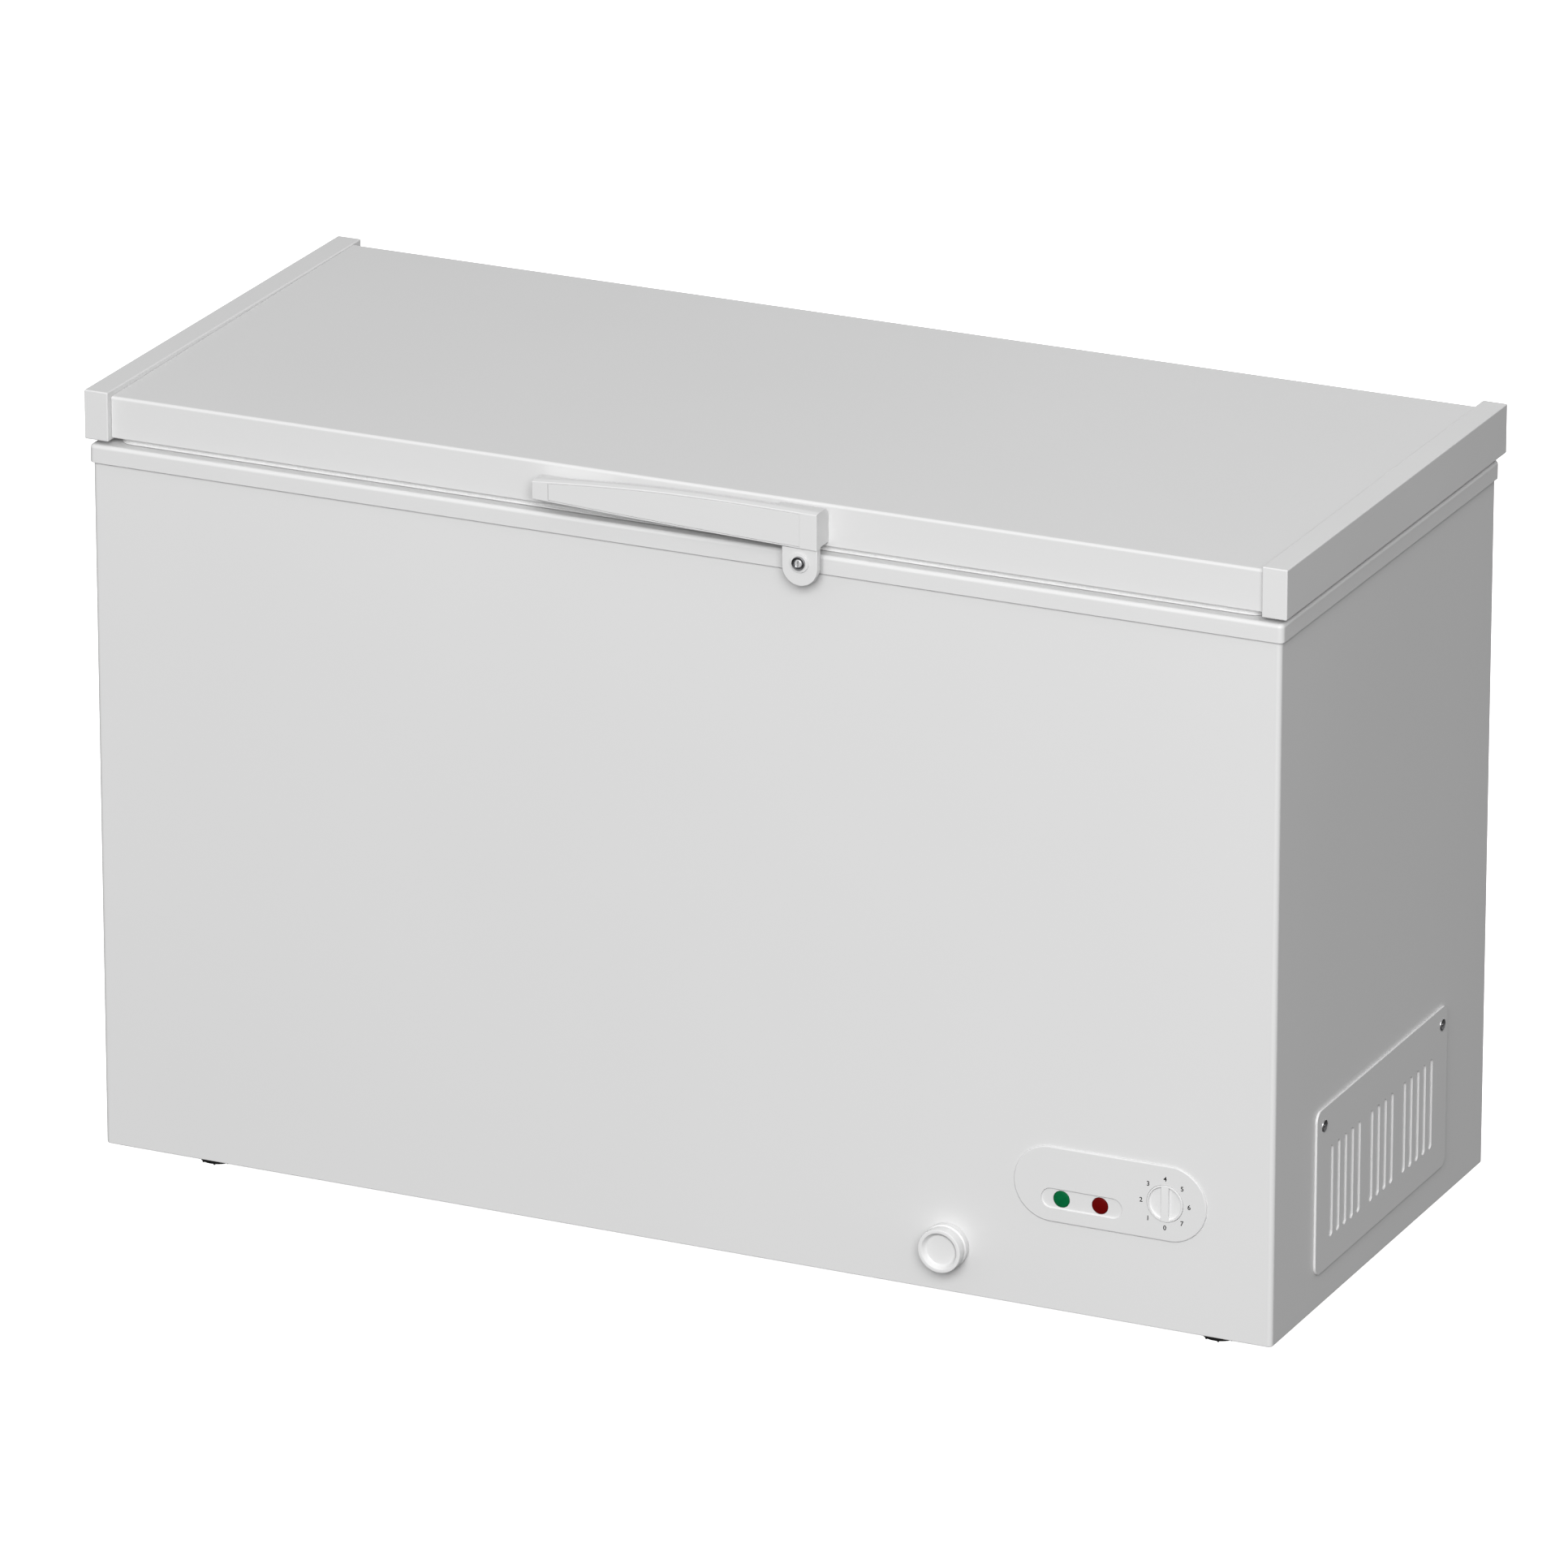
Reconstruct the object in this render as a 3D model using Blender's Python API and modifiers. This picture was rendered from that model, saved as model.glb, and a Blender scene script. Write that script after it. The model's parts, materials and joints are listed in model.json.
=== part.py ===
"""Chest freezer with a hinged lid, modelled as separate sub-parts in metres.

X runs across the width (the vent panel's side is +X), Y runs from the front (-Y) to the rear, and Z is up.
The origin is on the floor, under the centre of the whole object.
"""
import math

import bmesh
import bpy
from mathutils import Vector

# Clearances and sheet thicknesses
GAP = 0.0003
SHEET = 0.001
PLASTIC = 0.0025

# Cabinet
CABINET_WIDTH = 1.316
CABINET_DEPTH = 0.558
CABINET_HEIGHT = 0.747
CORNER_RADIUS = 0.005
FOOT_HEIGHT = 0.012
HALF_W = CABINET_WIDTH / 2
HALF_D = CABINET_DEPTH / 2
BASE_Z = FOOT_HEIGHT
RIM_Z = BASE_Z + CABINET_HEIGHT

# Collar round the cabinet's top
COLLAR_HEIGHT = 0.0195
COLLAR_OVERHANG = 0.003
COLLAR_TOP_Z = RIM_Z + COLLAR_HEIGHT
STEEL_TOP_Z = COLLAR_TOP_Z - PLASTIC - 0.001

# Insulated walls and the storage well
WALL = 0.060
CONDENSER_SPACE = 0.006
EVAPORATOR_SPACE = 0.012
LINER_HALF_X = HALF_W - WALL
LINER_HALF_Y = HALF_D - WALL
LINER_FLOOR_Z = 0.080
LINER_RADIUS = 0.014
STEP_X = 0.290
STEP_Z = 0.330
COMPARTMENT_X = 0.350
COMPARTMENT_TOP_Z = 0.275

# Lid
LID_CAP_OVERHANG = 0.004
LID_CAP_OUTER_X = HALF_W + COLLAR_OVERHANG + LID_CAP_OVERHANG
LID_CAP_WIDTH = 0.027
CAP_INSET = 0.0035
LID_CAP_INNER_X = LID_CAP_OUTER_X - LID_CAP_WIDTH
LID_CAP_FRONT_Y = -0.2823
LID_CAP_REAR_Y = 0.2897
LID_CAP_BOTTOM_Z = 0.7837
LID_CAP_TOP_Z = 0.8363
SKIN_FRONT_Y = -0.2742
SKIN_REAR_Y = 0.2730
SKIN_BOTTOM_Z = 0.7859
SKIN_TOP_Z = 0.8348
SKIN_FRONT_RADIUS = 0.006
SKIN_REAR_RADIUS = 0.002
SKIN_RETURN = 0.012
LID_FLANGE_Z = SKIN_BOTTOM_Z + SHEET + GAP
BULGE_HALF_X = 0.585
BULGE_HALF_Y = 0.206
BULGE_Z = 0.7852
BULGE_SLOPE = 0.006
LID_PANEL_THICKNESS = 0.0018
GASKET_WIDTH = 0.014
GASKET_OUTER = (0.634, 0.2600)
GASKET_RADIUS = 0.016

# Hinges
HINGE_Y = 0.297
HINGE_Z = 0.781
HINGE_X = 0.470
KNUCKLE_RADIUS = 0.008
PIN_RADIUS = 0.004
PIN_HOLE_RADIUS = 0.0041
HINGE_HALF_WIDTH = 0.030
HINGE_PLATE = 0.0025
BRACKET_BOTTOM_Z = 0.640
BRACKET_SCREW_ZS = (0.660, 0.715)
EAR_WIDTH = 0.012
LEAF_KNUCKLE = (-0.0175, -0.0055)
LEAF_Z = (0.7905, 0.828)
LEAF_ARM_Z = (0.7840, 0.7885)

# Handle and lock
HANDLE_FRONT_Y = -0.303
BAR_THICKNESS = 0.010
HANDLE_LEFT_X = -0.1472
HANDLE_RIGHT_X = 0.1673
HANDLE_TOP = ((HANDLE_LEFT_X, 0.8180), (-0.030, 0.8292), (0.050, 0.8295), (HANDLE_RIGHT_X, 0.8272))
HANDLE_BOTTOM = ((HANDLE_LEFT_X, 0.8000), (-0.066, 0.7956), (0.040, 0.7924), (HANDLE_RIGHT_X, 0.7897))
BLOCK_LEFT_INNER_X = -0.0700
BLOCK_RIGHT_INNER_X = 0.1180
FASCIA_LEFT_X = -0.1292
FASCIA_RIGHT_X = 0.1483
FASCIA_DEPTH = 0.0015
FASCIA_EDGE = 0.0016
LOCK_X = 0.1473
LOCK_Z = 0.7743
LOCK_TAB_FRONT_Y = -0.3005
LOCK_TAB_BACK_Y = -0.2925
LOCK_TAB_RADIUS = 0.0192
LOCK_TAB_ARC_Z = 0.7690
LOCK_TAB_TOP_Z = 0.7893
LOCK_BOSS_RADIUS = 0.0102
LOCK_BOSS_HEIGHT = 0.0015
LOCK_FRONT_Y = -0.305
LOCK_REAR_Y = -0.290
LOCK_RADIUS = 0.007
LOCK_BORE_RADIUS = 0.00711
CAM_LENGTH = 0.013
CAM_WIDTH = 0.007
STRIKE_X = 0.1580
STRIKE_WIDTH = 0.007
STRIKE_REACH = 0.0085
STRIKE_THICKNESS = 0.0015
STRIKE_BOTTOM_Z = 0.7625

# Control panel
PANEL_X = 0.4812
PANEL_Z = 0.1485
PANEL_WIDTH = 0.2106
PANEL_HEIGHT = 0.0810
PANEL_THICKNESS = 0.0017
PANEL_FRONT_Y = -HALF_D - GAP - PANEL_THICKNESS
PANEL_OPENING = (0.200, 0.070)
PANEL_BOSS = (0.197, 0.067)
BOSS_BACK_Y = -0.2755
POCKET_X = 0.4505
POCKET_Z = 0.1333
POCKET_WIDTH = 0.0890
POCKET_HEIGHT = 0.0220
POCKET_DEPTH = 0.0018
LENS_RADIUS = 0.0088
LENS_XS = (0.4278, 0.4700)
KNOB_X = 0.5415
KNOB_Z = 0.1484
KNOB_RADIUS = 0.0197
KNOB_PROUD = 0.0008
KNOB_RIM = 0.0016
KNOB_RECESS = 0.007
KNOB_BACK = 0.2690
GRIP_WIDTH = 0.0096
SHAFT_RADIUS = 0.0032
SHAFT_BACK = 0.2540
SHAFT_CLEARANCE = 0.00012

# Drain
DRAIN_X = 0.3026
DRAIN_Z = 0.0630
DRAIN_CAP_RADIUS = 0.0235
DRAIN_CAP_LENGTH = 0.022
DRAIN_TUBE_RADIUS = 0.010
DRAIN_BORE_RADIUS = 0.0085
SUMP_X = 0.250
SUMP_Y = -0.170

# Vent panel on the right side
VENT_WIDTH = 0.343
VENT_HEIGHT = 0.177
VENT_Z = 0.1365
VENT_THICKNESS = 0.0030
VENT_CORNER_RADIUS = 0.011
VENT_OPENING_HALF_Y = 0.145
VENT_OPENING_Z = (0.065, 0.200)
TRAY_HALF_Y = 0.140
TRAY_Z = (0.070, 0.192)
TRAY_DEPTH = 0.0035
SLOT_PITCH = 0.0178
SLOT_WIDTH = 0.0088
SLOT_LOW_Z = 0.0816
SLOT_HIGH_Z = 0.1780
SLOT_GROUPS = ((-0.0952, 5), (0.0, 4), (0.0952, 5))
SCREW_Y = 0.1553
SCREW_Z = 0.2072
SCREW_HEAD_RADIUS = 0.0060
SCREW_HOLE_RADIUS = 0.0024

# Supply cord's gland at the rear
CORD_X = 0.560
CORD_Z = 0.060
CORD_HOLE_RADIUS = 0.008

# Feet
FOOT_XS = {"left": -0.545, "right": 0.588}
FOOT_YS = {"front": -0.2425, "rear": 0.2425}
FOOT_RADIUS = 0.017
STUD_RADIUS = 0.004
STUD_HOLE_RADIUS = 0.00415
STUD_TOP_Z = 0.032

# Compressor
COMPRESSOR_X = 0.505
COMPRESSOR_Y = 0.045
COMPRESSOR_RADIUS = 0.082
PLATE_Z = 0.0380

# Refrigerant tubes
EVAPORATOR_RADIUS = 0.004
CONDENSER_RADIUS = 0.0024
CAPILLARY_RADIUS = 0.0012
SUCTION_X = 0.470
CAPILLARY_X = 0.560
EVAPORATOR_END_X = 0.582

# Basket
BASKET_X = (-0.583, -0.323)
BASKET_HALF_Y = 0.2105
BASKET_Z = (0.560, 0.760)
BASKET_HOOK_Y = 0.2205
BASKET_WIRE = 0.005
BASKET_TAPER = 0.012

FRONT_FACING = (math.radians(90), 0, 0)
REAR_FACING = (math.radians(-90), 0, 0)
SIDE_FACING = (math.radians(90), 0, math.radians(90))


def clear_scene():
    for obj in list(bpy.data.objects):
        bpy.data.objects.remove(obj, do_unlink=True)


clear_scene()
PARTS = bpy.data.collections.new("chest_freezer")
CUTTERS = bpy.data.collections.new("cutters")
for collection in (PARTS, CUTTERS):
    bpy.context.scene.collection.children.link(collection)


# ---------------------------------------------------------------- materials

def material(name, colour, roughness, metallic=0.0):
    mat = bpy.data.materials.new(name)
    mat.use_nodes = True
    shader = mat.node_tree.nodes["Principled BSDF"]
    shader.inputs["Base Color"].default_value = (*colour, 1.0)
    shader.inputs["Roughness"].default_value = roughness
    shader.inputs["Metallic"].default_value = metallic
    mat.diffuse_color = (*colour, 1.0)
    return mat


WHITE_STEEL = material("white_enamelled_steel", (0.80, 0.80, 0.80), 0.35)
WHITE_PLASTIC = material("white_plastic", (0.78, 0.78, 0.78), 0.40)
LINER_METAL = material("white_liner", (0.76, 0.77, 0.78), 0.30)
GALVANISED = material("galvanised_steel", (0.55, 0.56, 0.57), 0.45, 1.0)
FOAM = material("polyurethane_foam", (0.75, 0.66, 0.40), 0.90)
COPPER = material("copper", (0.72, 0.38, 0.24), 0.35, 1.0)
ALUMINIUM = material("aluminium_tube", (0.75, 0.76, 0.77), 0.40, 1.0)
BLACK_ENAMEL = material("black_enamel", (0.02, 0.02, 0.02), 0.40)
BLACK_PLASTIC = material("black_plastic", (0.02, 0.02, 0.02), 0.50)
RUBBER = material("rubber", (0.03, 0.03, 0.03), 0.80)
GASKET = material("white_vinyl", (0.72, 0.72, 0.72), 0.60)
GREEN = material("green_lens", (0.0, 0.11, 0.03), 0.25)
RED = material("red_lens", (0.10, 0.0, 0.0), 0.25)
CHROME = material("chrome", (0.60, 0.60, 0.62), 0.12, 1.0)
STEEL = material("zinc_plated_steel", (0.62, 0.62, 0.63), 0.35, 1.0)
WIRE_COATING = material("white_wire_coating", (0.80, 0.80, 0.80), 0.45)


# ---------------------------------------------------------------- modelling helpers

def place(name, mesh, mat, location=(0, 0, 0), rotation=(0, 0, 0)):
    obj = bpy.data.objects.new(name, mesh)
    mesh.name = name
    obj.location = location
    obj.rotation_euler = rotation
    if mat is None:
        CUTTERS.objects.link(obj)
        obj.hide_render = True
        obj.display_type = 'WIRE'
    else:
        PARTS.objects.link(obj)
        mesh.materials.append(mat)
    bpy.context.view_layer.update()
    return obj


def smooth(obj, angle=35):
    obj.data.shade_smooth()
    obj.data.set_sharp_from_angle(angle=math.radians(angle))
    return obj


def box(name, low, high, mat):
    low, high = Vector(low), Vector(high)
    mesh = bpy.data.meshes.new(name)
    bm = bmesh.new()
    bmesh.ops.create_cube(bm, size=1.0)
    bmesh.ops.scale(bm, vec=high - low, verts=bm.verts)
    bm.to_mesh(mesh)
    bm.free()
    return place(name, mesh, mat, (low + high) / 2)


def cylinder(name, radius, length, centre, rotation, mat, segments=20):
    mesh = bpy.data.meshes.new(name)
    bm = bmesh.new()
    bmesh.ops.create_cone(bm, cap_ends=True, segments=segments, radius1=radius, radius2=radius, depth=length)
    bm.to_mesh(mesh)
    bm.free()
    return smooth(place(name, mesh, mat, centre, rotation))


def turned(name, profile, mat, location, rotation=(0, 0, 0), steps=24, closed=False):
    """A profile of (radius, height) points, run down its outer side, turned about its own Z axis."""
    mesh = bpy.data.meshes.new(name)
    count = len(profile)
    edges = [(i, i + 1) for i in range(count - 1)]
    if closed:
        edges.append((count - 1, 0))
    mesh.from_pydata([(radius, 0, height) for radius, height in profile], edges, [])
    obj = place(name, mesh, mat, location, rotation)
    screw = obj.modifiers.new("turn", 'SCREW')
    screw.steps = steps
    screw.render_steps = steps
    screw.use_merge_vertices = True
    screw.merge_threshold = 0.00001
    screw.use_smooth_shade = True
    return obj


def as_mesh(obj, mat):
    """Replaces a curve object by the mesh it evaluates to, with its caps welded."""
    name = obj.name
    graph = bpy.context.evaluated_depsgraph_get()
    mesh = bpy.data.meshes.new_from_object(obj.evaluated_get(graph))
    matrix = obj.matrix_world.copy()
    bpy.data.objects.remove(obj, do_unlink=True)
    bm = bmesh.new()
    bm.from_mesh(mesh)
    bmesh.ops.remove_doubles(bm, verts=bm.verts, dist=0.000005)
    bmesh.ops.recalc_face_normals(bm, faces=bm.faces)
    bm.to_mesh(mesh)
    bm.free()
    mesh.materials.clear()
    new = place(name, mesh, mat)
    new.matrix_world = matrix
    return new


def outline_solid(name, loops, thickness, centre, rotation, mat):
    """A flat outline, with its holes as further loops, given thickness about its own plane."""
    curve = bpy.data.curves.new(name, 'CURVE')
    curve.dimensions = '2D'
    curve.fill_mode = 'BOTH'
    curve.extrude = thickness / 2
    for loop in loops:
        spline = curve.splines.new('POLY')
        spline.points.add(len(loop) - 1)
        for point, (u, v) in zip(spline.points, loop):
            point.co = (u, v, 0, 1)
        spline.use_cyclic_u = True
    obj = bpy.data.objects.new(name, curve)
    CUTTERS.objects.link(obj)
    obj.location = centre
    obj.rotation_euler = rotation
    bpy.context.view_layer.update()
    return as_mesh(obj, mat)


def tube(name, points, radius, mat, caps=True, resolution=2):
    curve = bpy.data.curves.new(name, 'CURVE')
    curve.dimensions = '3D'
    curve.bevel_depth = radius
    curve.bevel_resolution = resolution
    curve.use_fill_caps = caps
    spline = curve.splines.new('POLY')
    spline.points.add(len(points) - 1)
    for point, position in zip(spline.points, points):
        point.co = (*position, 1)
    obj = bpy.data.objects.new(name, curve)
    CUTTERS.objects.link(obj)
    bpy.context.view_layer.update()
    return smooth(as_mesh(obj, mat), 50)


def sheet(name, path, length, thickness, mat, centre=(0, 0, 0), rotation=(0, 0, 0), side=1):
    """A bent sheet: an open path in its own XY plane, run along Z, then given thickness on one side."""
    mesh = bpy.data.meshes.new(name)
    bm = bmesh.new()
    verts = [bm.verts.new((u, v, -length / 2)) for u, v in path]
    edges = [bm.edges.new(pair) for pair in zip(verts, verts[1:])]
    run = bmesh.ops.extrude_edge_only(bm, edges=edges)
    top = [item for item in run["geom"] if isinstance(item, bmesh.types.BMVert)]
    bmesh.ops.translate(bm, vec=(0, 0, length), verts=top)
    bmesh.ops.recalc_face_normals(bm, faces=bm.faces)
    bm.to_mesh(mesh)
    bm.free()
    obj = place(name, mesh, mat, centre, rotation)
    thicken(obj, thickness, side)
    return obj


def thicken(obj, thickness, side):
    solid = obj.modifiers.new("thickness", 'SOLIDIFY')
    solid.thickness = thickness
    solid.offset = side
    solid.solidify_mode = 'NON_MANIFOLD'
    solid.nonmanifold_thickness_mode = 'CONSTRAINTS'


def remove_faces(obj, direction):
    """Opens a solid on the side that faces a direction, in its own axes."""
    direction = Vector(direction)
    bm = bmesh.new()
    bm.from_mesh(obj.data)
    bmesh.ops.delete(bm, geom=[f for f in bm.faces if f.normal.dot(direction) > 0.99], context='FACES')
    bm.to_mesh(obj.data)
    bm.free()


def bevel(obj, width, segments=2, angle=40):
    mod = obj.modifiers.new("rounded_edges", 'BEVEL')
    mod.width = width
    mod.segments = segments
    mod.limit_method = 'ANGLE'
    mod.angle_limit = math.radians(angle)


def combine(obj, other, operation):
    mod = obj.modifiers.new(operation.lower() + "_" + other.name, 'BOOLEAN')
    mod.operation = operation
    mod.object = other
    return obj


def cut(obj, *cutters):
    for cutter in cutters:
        combine(obj, cutter, 'DIFFERENCE')
    return obj


def join(obj, *others):
    for other in others:
        combine(obj, other, 'UNION')
    return obj


def arc(cx, cy, radius, start, end, count):
    """Points along an arc, in degrees, both ends included."""
    angles = [math.radians(start + (end - start) * i / count) for i in range(count + 1)]
    return [(cx + radius * math.cos(a), cy + radius * math.sin(a)) for a in angles]


def rounded_rectangle(half_x, half_y, radius, count=3, centre=(0, 0)):
    x, y = half_x - radius, half_y - radius
    corners = ((x, y, 0), (-x, y, 90), (-x, -y, 180), (x, -y, 270))
    points = []
    for cx, cy, start in corners:
        points += arc(centre[0] + cx, centre[1] + cy, radius, start, start + 90, count)
    return points


def stadium(cx, cy, width, height, count=8):
    """An outline with two straight sides and two half-round ends, long along whichever side is longer."""
    if width >= height:
        radius, run = height / 2, (width - height) / 2
        return arc(cx + run, cy, radius, -90, 90, count) + arc(cx - run, cy, radius, 90, 270, count)
    radius, run = width / 2, (height - width) / 2
    return arc(cx, cy + run, radius, 0, 180, count) + arc(cx, cy - run, radius, 180, 360, count)


def lofted(name, loops, mat):
    """An open surface through loops of (x, y, z) points, bridged one after another."""
    mesh = bpy.data.meshes.new(name)
    bm = bmesh.new()
    rings = []
    for loop in loops:
        verts = [bm.verts.new(point) for point in loop]
        rings.append([bm.edges.new(pair) for pair in zip(verts, verts[1:] + verts[:1])])
    for lower, upper in zip(rings, rings[1:]):
        bmesh.ops.bridge_loops(bm, edges=lower + upper)
    bmesh.ops.recalc_face_normals(bm, faces=bm.faces)
    bm.to_mesh(mesh)
    bm.free()
    return place(name, mesh, mat)


def rounded_path(corners, radius, count=3):
    """Points along straight runs whose corners are rounded to a radius."""
    points = [Vector(corners[0])]
    for before, corner, after in zip(corners, corners[1:], corners[2:]):
        corner = Vector(corner)
        inward = (Vector(before) - corner).normalized() * radius
        onward = (Vector(after) - corner).normalized() * radius
        start, end = corner + inward, corner + onward
        for i in range(count + 1):
            t = i / count
            points.append(start.lerp(corner, t).lerp(corner.lerp(end, t), t))
    points.append(Vector(corners[-1]))
    return points


def bezier(points, count):
    """Points along a cubic curve with the given end and handle points."""
    result = []
    for i in range(count + 1):
        t = i / count
        weights = ((1 - t) ** 3, 3 * t * (1 - t) ** 2, 3 * t * t * (1 - t), t ** 3)
        result.append(tuple(sum(w * p[axis] for w, p in zip(weights, points)) for axis in (0, 1)))
    return result


# ---------------------------------------------------------------- cabinet shell

def make_wrapper():
    flange = 0.018
    rear_radius = 0.003
    inner_x = HALF_W - CORNER_RADIUS
    path = [(-HALF_W + flange, HALF_D)]
    path += arc(-HALF_W + rear_radius, HALF_D - rear_radius, rear_radius, 90, 180, 2)
    path += arc(-inner_x, -HALF_D + CORNER_RADIUS, CORNER_RADIUS, 180, 270, 3)
    path += arc(inner_x, -HALF_D + CORNER_RADIUS, CORNER_RADIUS, 270, 360, 3)
    path += arc(HALF_W - rear_radius, HALF_D - rear_radius, rear_radius, 0, 90, 2)
    path.append((HALF_W - flange, HALF_D))
    height = STEEL_TOP_Z - BASE_Z
    wrapper = sheet("outer_wrapper", path, height, SHEET, WHITE_STEEL,
                    centre=(0, 0, BASE_Z + height / 2), side=-1)
    control = outline_solid("cut_control_opening", [stadium(PANEL_X, PANEL_Z, *PANEL_OPENING)], 0.02,
                            (0, -HALF_D, 0), FRONT_FACING, None)
    drain = cylinder("cut_drain_hole", DRAIN_TUBE_RADIUS + 0.001, 0.02, (DRAIN_X, -HALF_D, DRAIN_Z),
                     FRONT_FACING, None)
    vent = box("cut_vent_opening", (HALF_W - 0.01, -VENT_OPENING_HALF_Y, VENT_OPENING_Z[0]),
               (HALF_W + 0.01, VENT_OPENING_HALF_Y, VENT_OPENING_Z[1]), None)
    cut(wrapper, control, drain, vent)
    return smooth(wrapper)


def make_rear_and_base():
    rear_y = HALF_D - SHEET - GAP
    inner_x = HALF_W - SHEET - GAP
    panel_x = inner_x - 0.002
    rear = box("rear_panel", (-panel_x, rear_y - SHEET, BASE_Z), (panel_x, rear_y, STEEL_TOP_Z), WHITE_STEEL)
    cut(rear, cylinder("cut_cord_hole", CORD_HOLE_RADIUS, 0.02, (CORD_X, rear_y, CORD_Z), FRONT_FACING, None))
    pan_y = rear_y - SHEET - GAP
    front_y = -HALF_D + SHEET + GAP
    lip = 0.015
    outline = rounded_rectangle(inner_x, (pan_y - front_y) / 2, CORNER_RADIUS, 2)
    pan = outline_solid("base_pan", [outline], lip, (0, (pan_y + front_y) / 2, BASE_Z + lip / 2), (0, 0, 0),
                        GALVANISED)
    remove_faces(pan, (0, 0, 1))
    thicken(pan, SHEET, -1)
    for end, x in FOOT_XS.items():
        for side, y in FOOT_YS.items():
            hole = cylinder(f"cut_foot_hole_{side}_{end}", STUD_HOLE_RADIUS, 0.01, (x, y, BASE_Z), (0, 0, 0),
                            None, 16)
            cut(pan, hole)


def make_partition():
    depth = 2 * (HALF_D - SHEET - CONDENSER_SPACE)
    path = ((COMPARTMENT_X, BASE_Z + SHEET + GAP), (COMPARTMENT_X, COMPARTMENT_TOP_Z),
            (HALF_W - SHEET - CONDENSER_SPACE, COMPARTMENT_TOP_Z))
    partition = sheet("compartment_partition", path, depth, SHEET, GALVANISED,
                      centre=(0, 0, 0), rotation=FRONT_FACING, side=-1)
    roof_holes = ((SUCTION_X, LINER_HALF_Y + SHEET + GAP + EVAPORATOR_RADIUS, 0.0065),
                  (CAPILLARY_X, capillary_y(), 0.003))
    for i, (x, y, radius) in enumerate(roof_holes):
        cut(partition, cylinder(f"cut_partition_hole_{i}", radius, 0.02, (x, y, COMPARTMENT_TOP_Z),
                                (0, 0, 0), None, 12))


def capillary_y():
    return LINER_HALF_Y + SHEET + 2 * GAP + 2 * EVAPORATOR_RADIUS + CAPILLARY_RADIUS


def make_foam():
    outer_x = HALF_W - SHEET - CONDENSER_SPACE
    front_y = -HALF_D + SHEET + CONDENSER_SPACE
    rear_y = HALF_D - 4 * SHEET
    bottom_z = BASE_Z + SHEET + GAP
    foam = box("insulation_foam", (-outer_x, front_y, bottom_z), (outer_x, rear_y, STEEL_TOP_Z), FOAM)
    well_x = LINER_HALF_X + SHEET + EVAPORATOR_SPACE
    well_y = LINER_HALF_Y + SHEET + EVAPORATOR_SPACE
    floor_z = LINER_FLOOR_Z - SHEET - GAP
    step_z = STEP_Z - SHEET - GAP
    step_x = STEP_X + SHEET + GAP
    above = STEEL_TOP_Z + 0.05
    well = box("cut_foam_well", (-well_x, -well_y, floor_z), (step_x, well_y, above), None)
    upper = box("cut_foam_upper", (step_x - 0.05, -well_y, step_z), (well_x, well_y, above), None)
    room = box("cut_foam_compartment", (COMPARTMENT_X - GAP, -HALF_D, 0),
               (HALF_W, HALF_D, COMPARTMENT_TOP_Z + GAP), None)
    cut(foam, well, upper, room)
    edge = box("cut_foam_step_edge", (-LINER_RADIUS * 0.8, -well_y, -LINER_RADIUS * 0.8),
               (LINER_RADIUS * 0.8, well_y, LINER_RADIUS * 0.8), None)
    edge.location = (step_x, 0, step_z)
    edge.rotation_euler = (0, math.radians(45), 0)
    bpy.context.view_layer.update()
    cut(foam, edge)
    channel = tube("cut_foam_drain", drain_path(0.02, 0.006), DRAIN_TUBE_RADIUS + 0.0025, None, resolution=3)
    sump = cylinder("cut_foam_sump", DRAIN_TUBE_RADIUS + 0.0035, 0.040, (SUMP_X, SUMP_Y, DRAIN_Z + 0.020),
                    (0, 0, 0), None)
    suction = cylinder("cut_foam_suction", 0.0065, 0.08, (SUCTION_X, 0.2243, 0.300), (0, 0, 0), None, 12)
    capillary = cylinder("cut_foam_capillary", 0.003, 0.08, (CAPILLARY_X, capillary_y(), 0.300),
                         (0, 0, 0), None, 12)
    cut(foam, channel, sump, suction, capillary)
    for side, y in FOOT_YS.items():
        pocket = cylinder(f"cut_foam_foot_{side}", 0.009, 0.060, (FOOT_XS["left"], y, 0.008),
                          (0, 0, 0), None, 12)
        cut(foam, pocket)


def make_liner():
    top = STEEL_TOP_Z - SHEET
    outline = [(-LINER_HALF_X, LINER_FLOOR_Z), (STEP_X, LINER_FLOOR_Z), (STEP_X, STEP_Z),
               (LINER_HALF_X, STEP_Z), (LINER_HALF_X, top), (-LINER_HALF_X, top)]
    liner = outline_solid("inner_liner", [outline], 2 * LINER_HALF_Y, (0, 0, 0), FRONT_FACING, LINER_METAL)
    remove_faces(liner, (0, 1, 0))
    bevel(liner, LINER_RADIUS, 2)
    thicken(liner, SHEET, 1)
    cut(liner, cylinder("cut_liner_drain", 0.009, 0.02, (SUMP_X, SUMP_Y, LINER_FLOOR_Z), (0, 0, 0), None))
    return smooth(liner)


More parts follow.
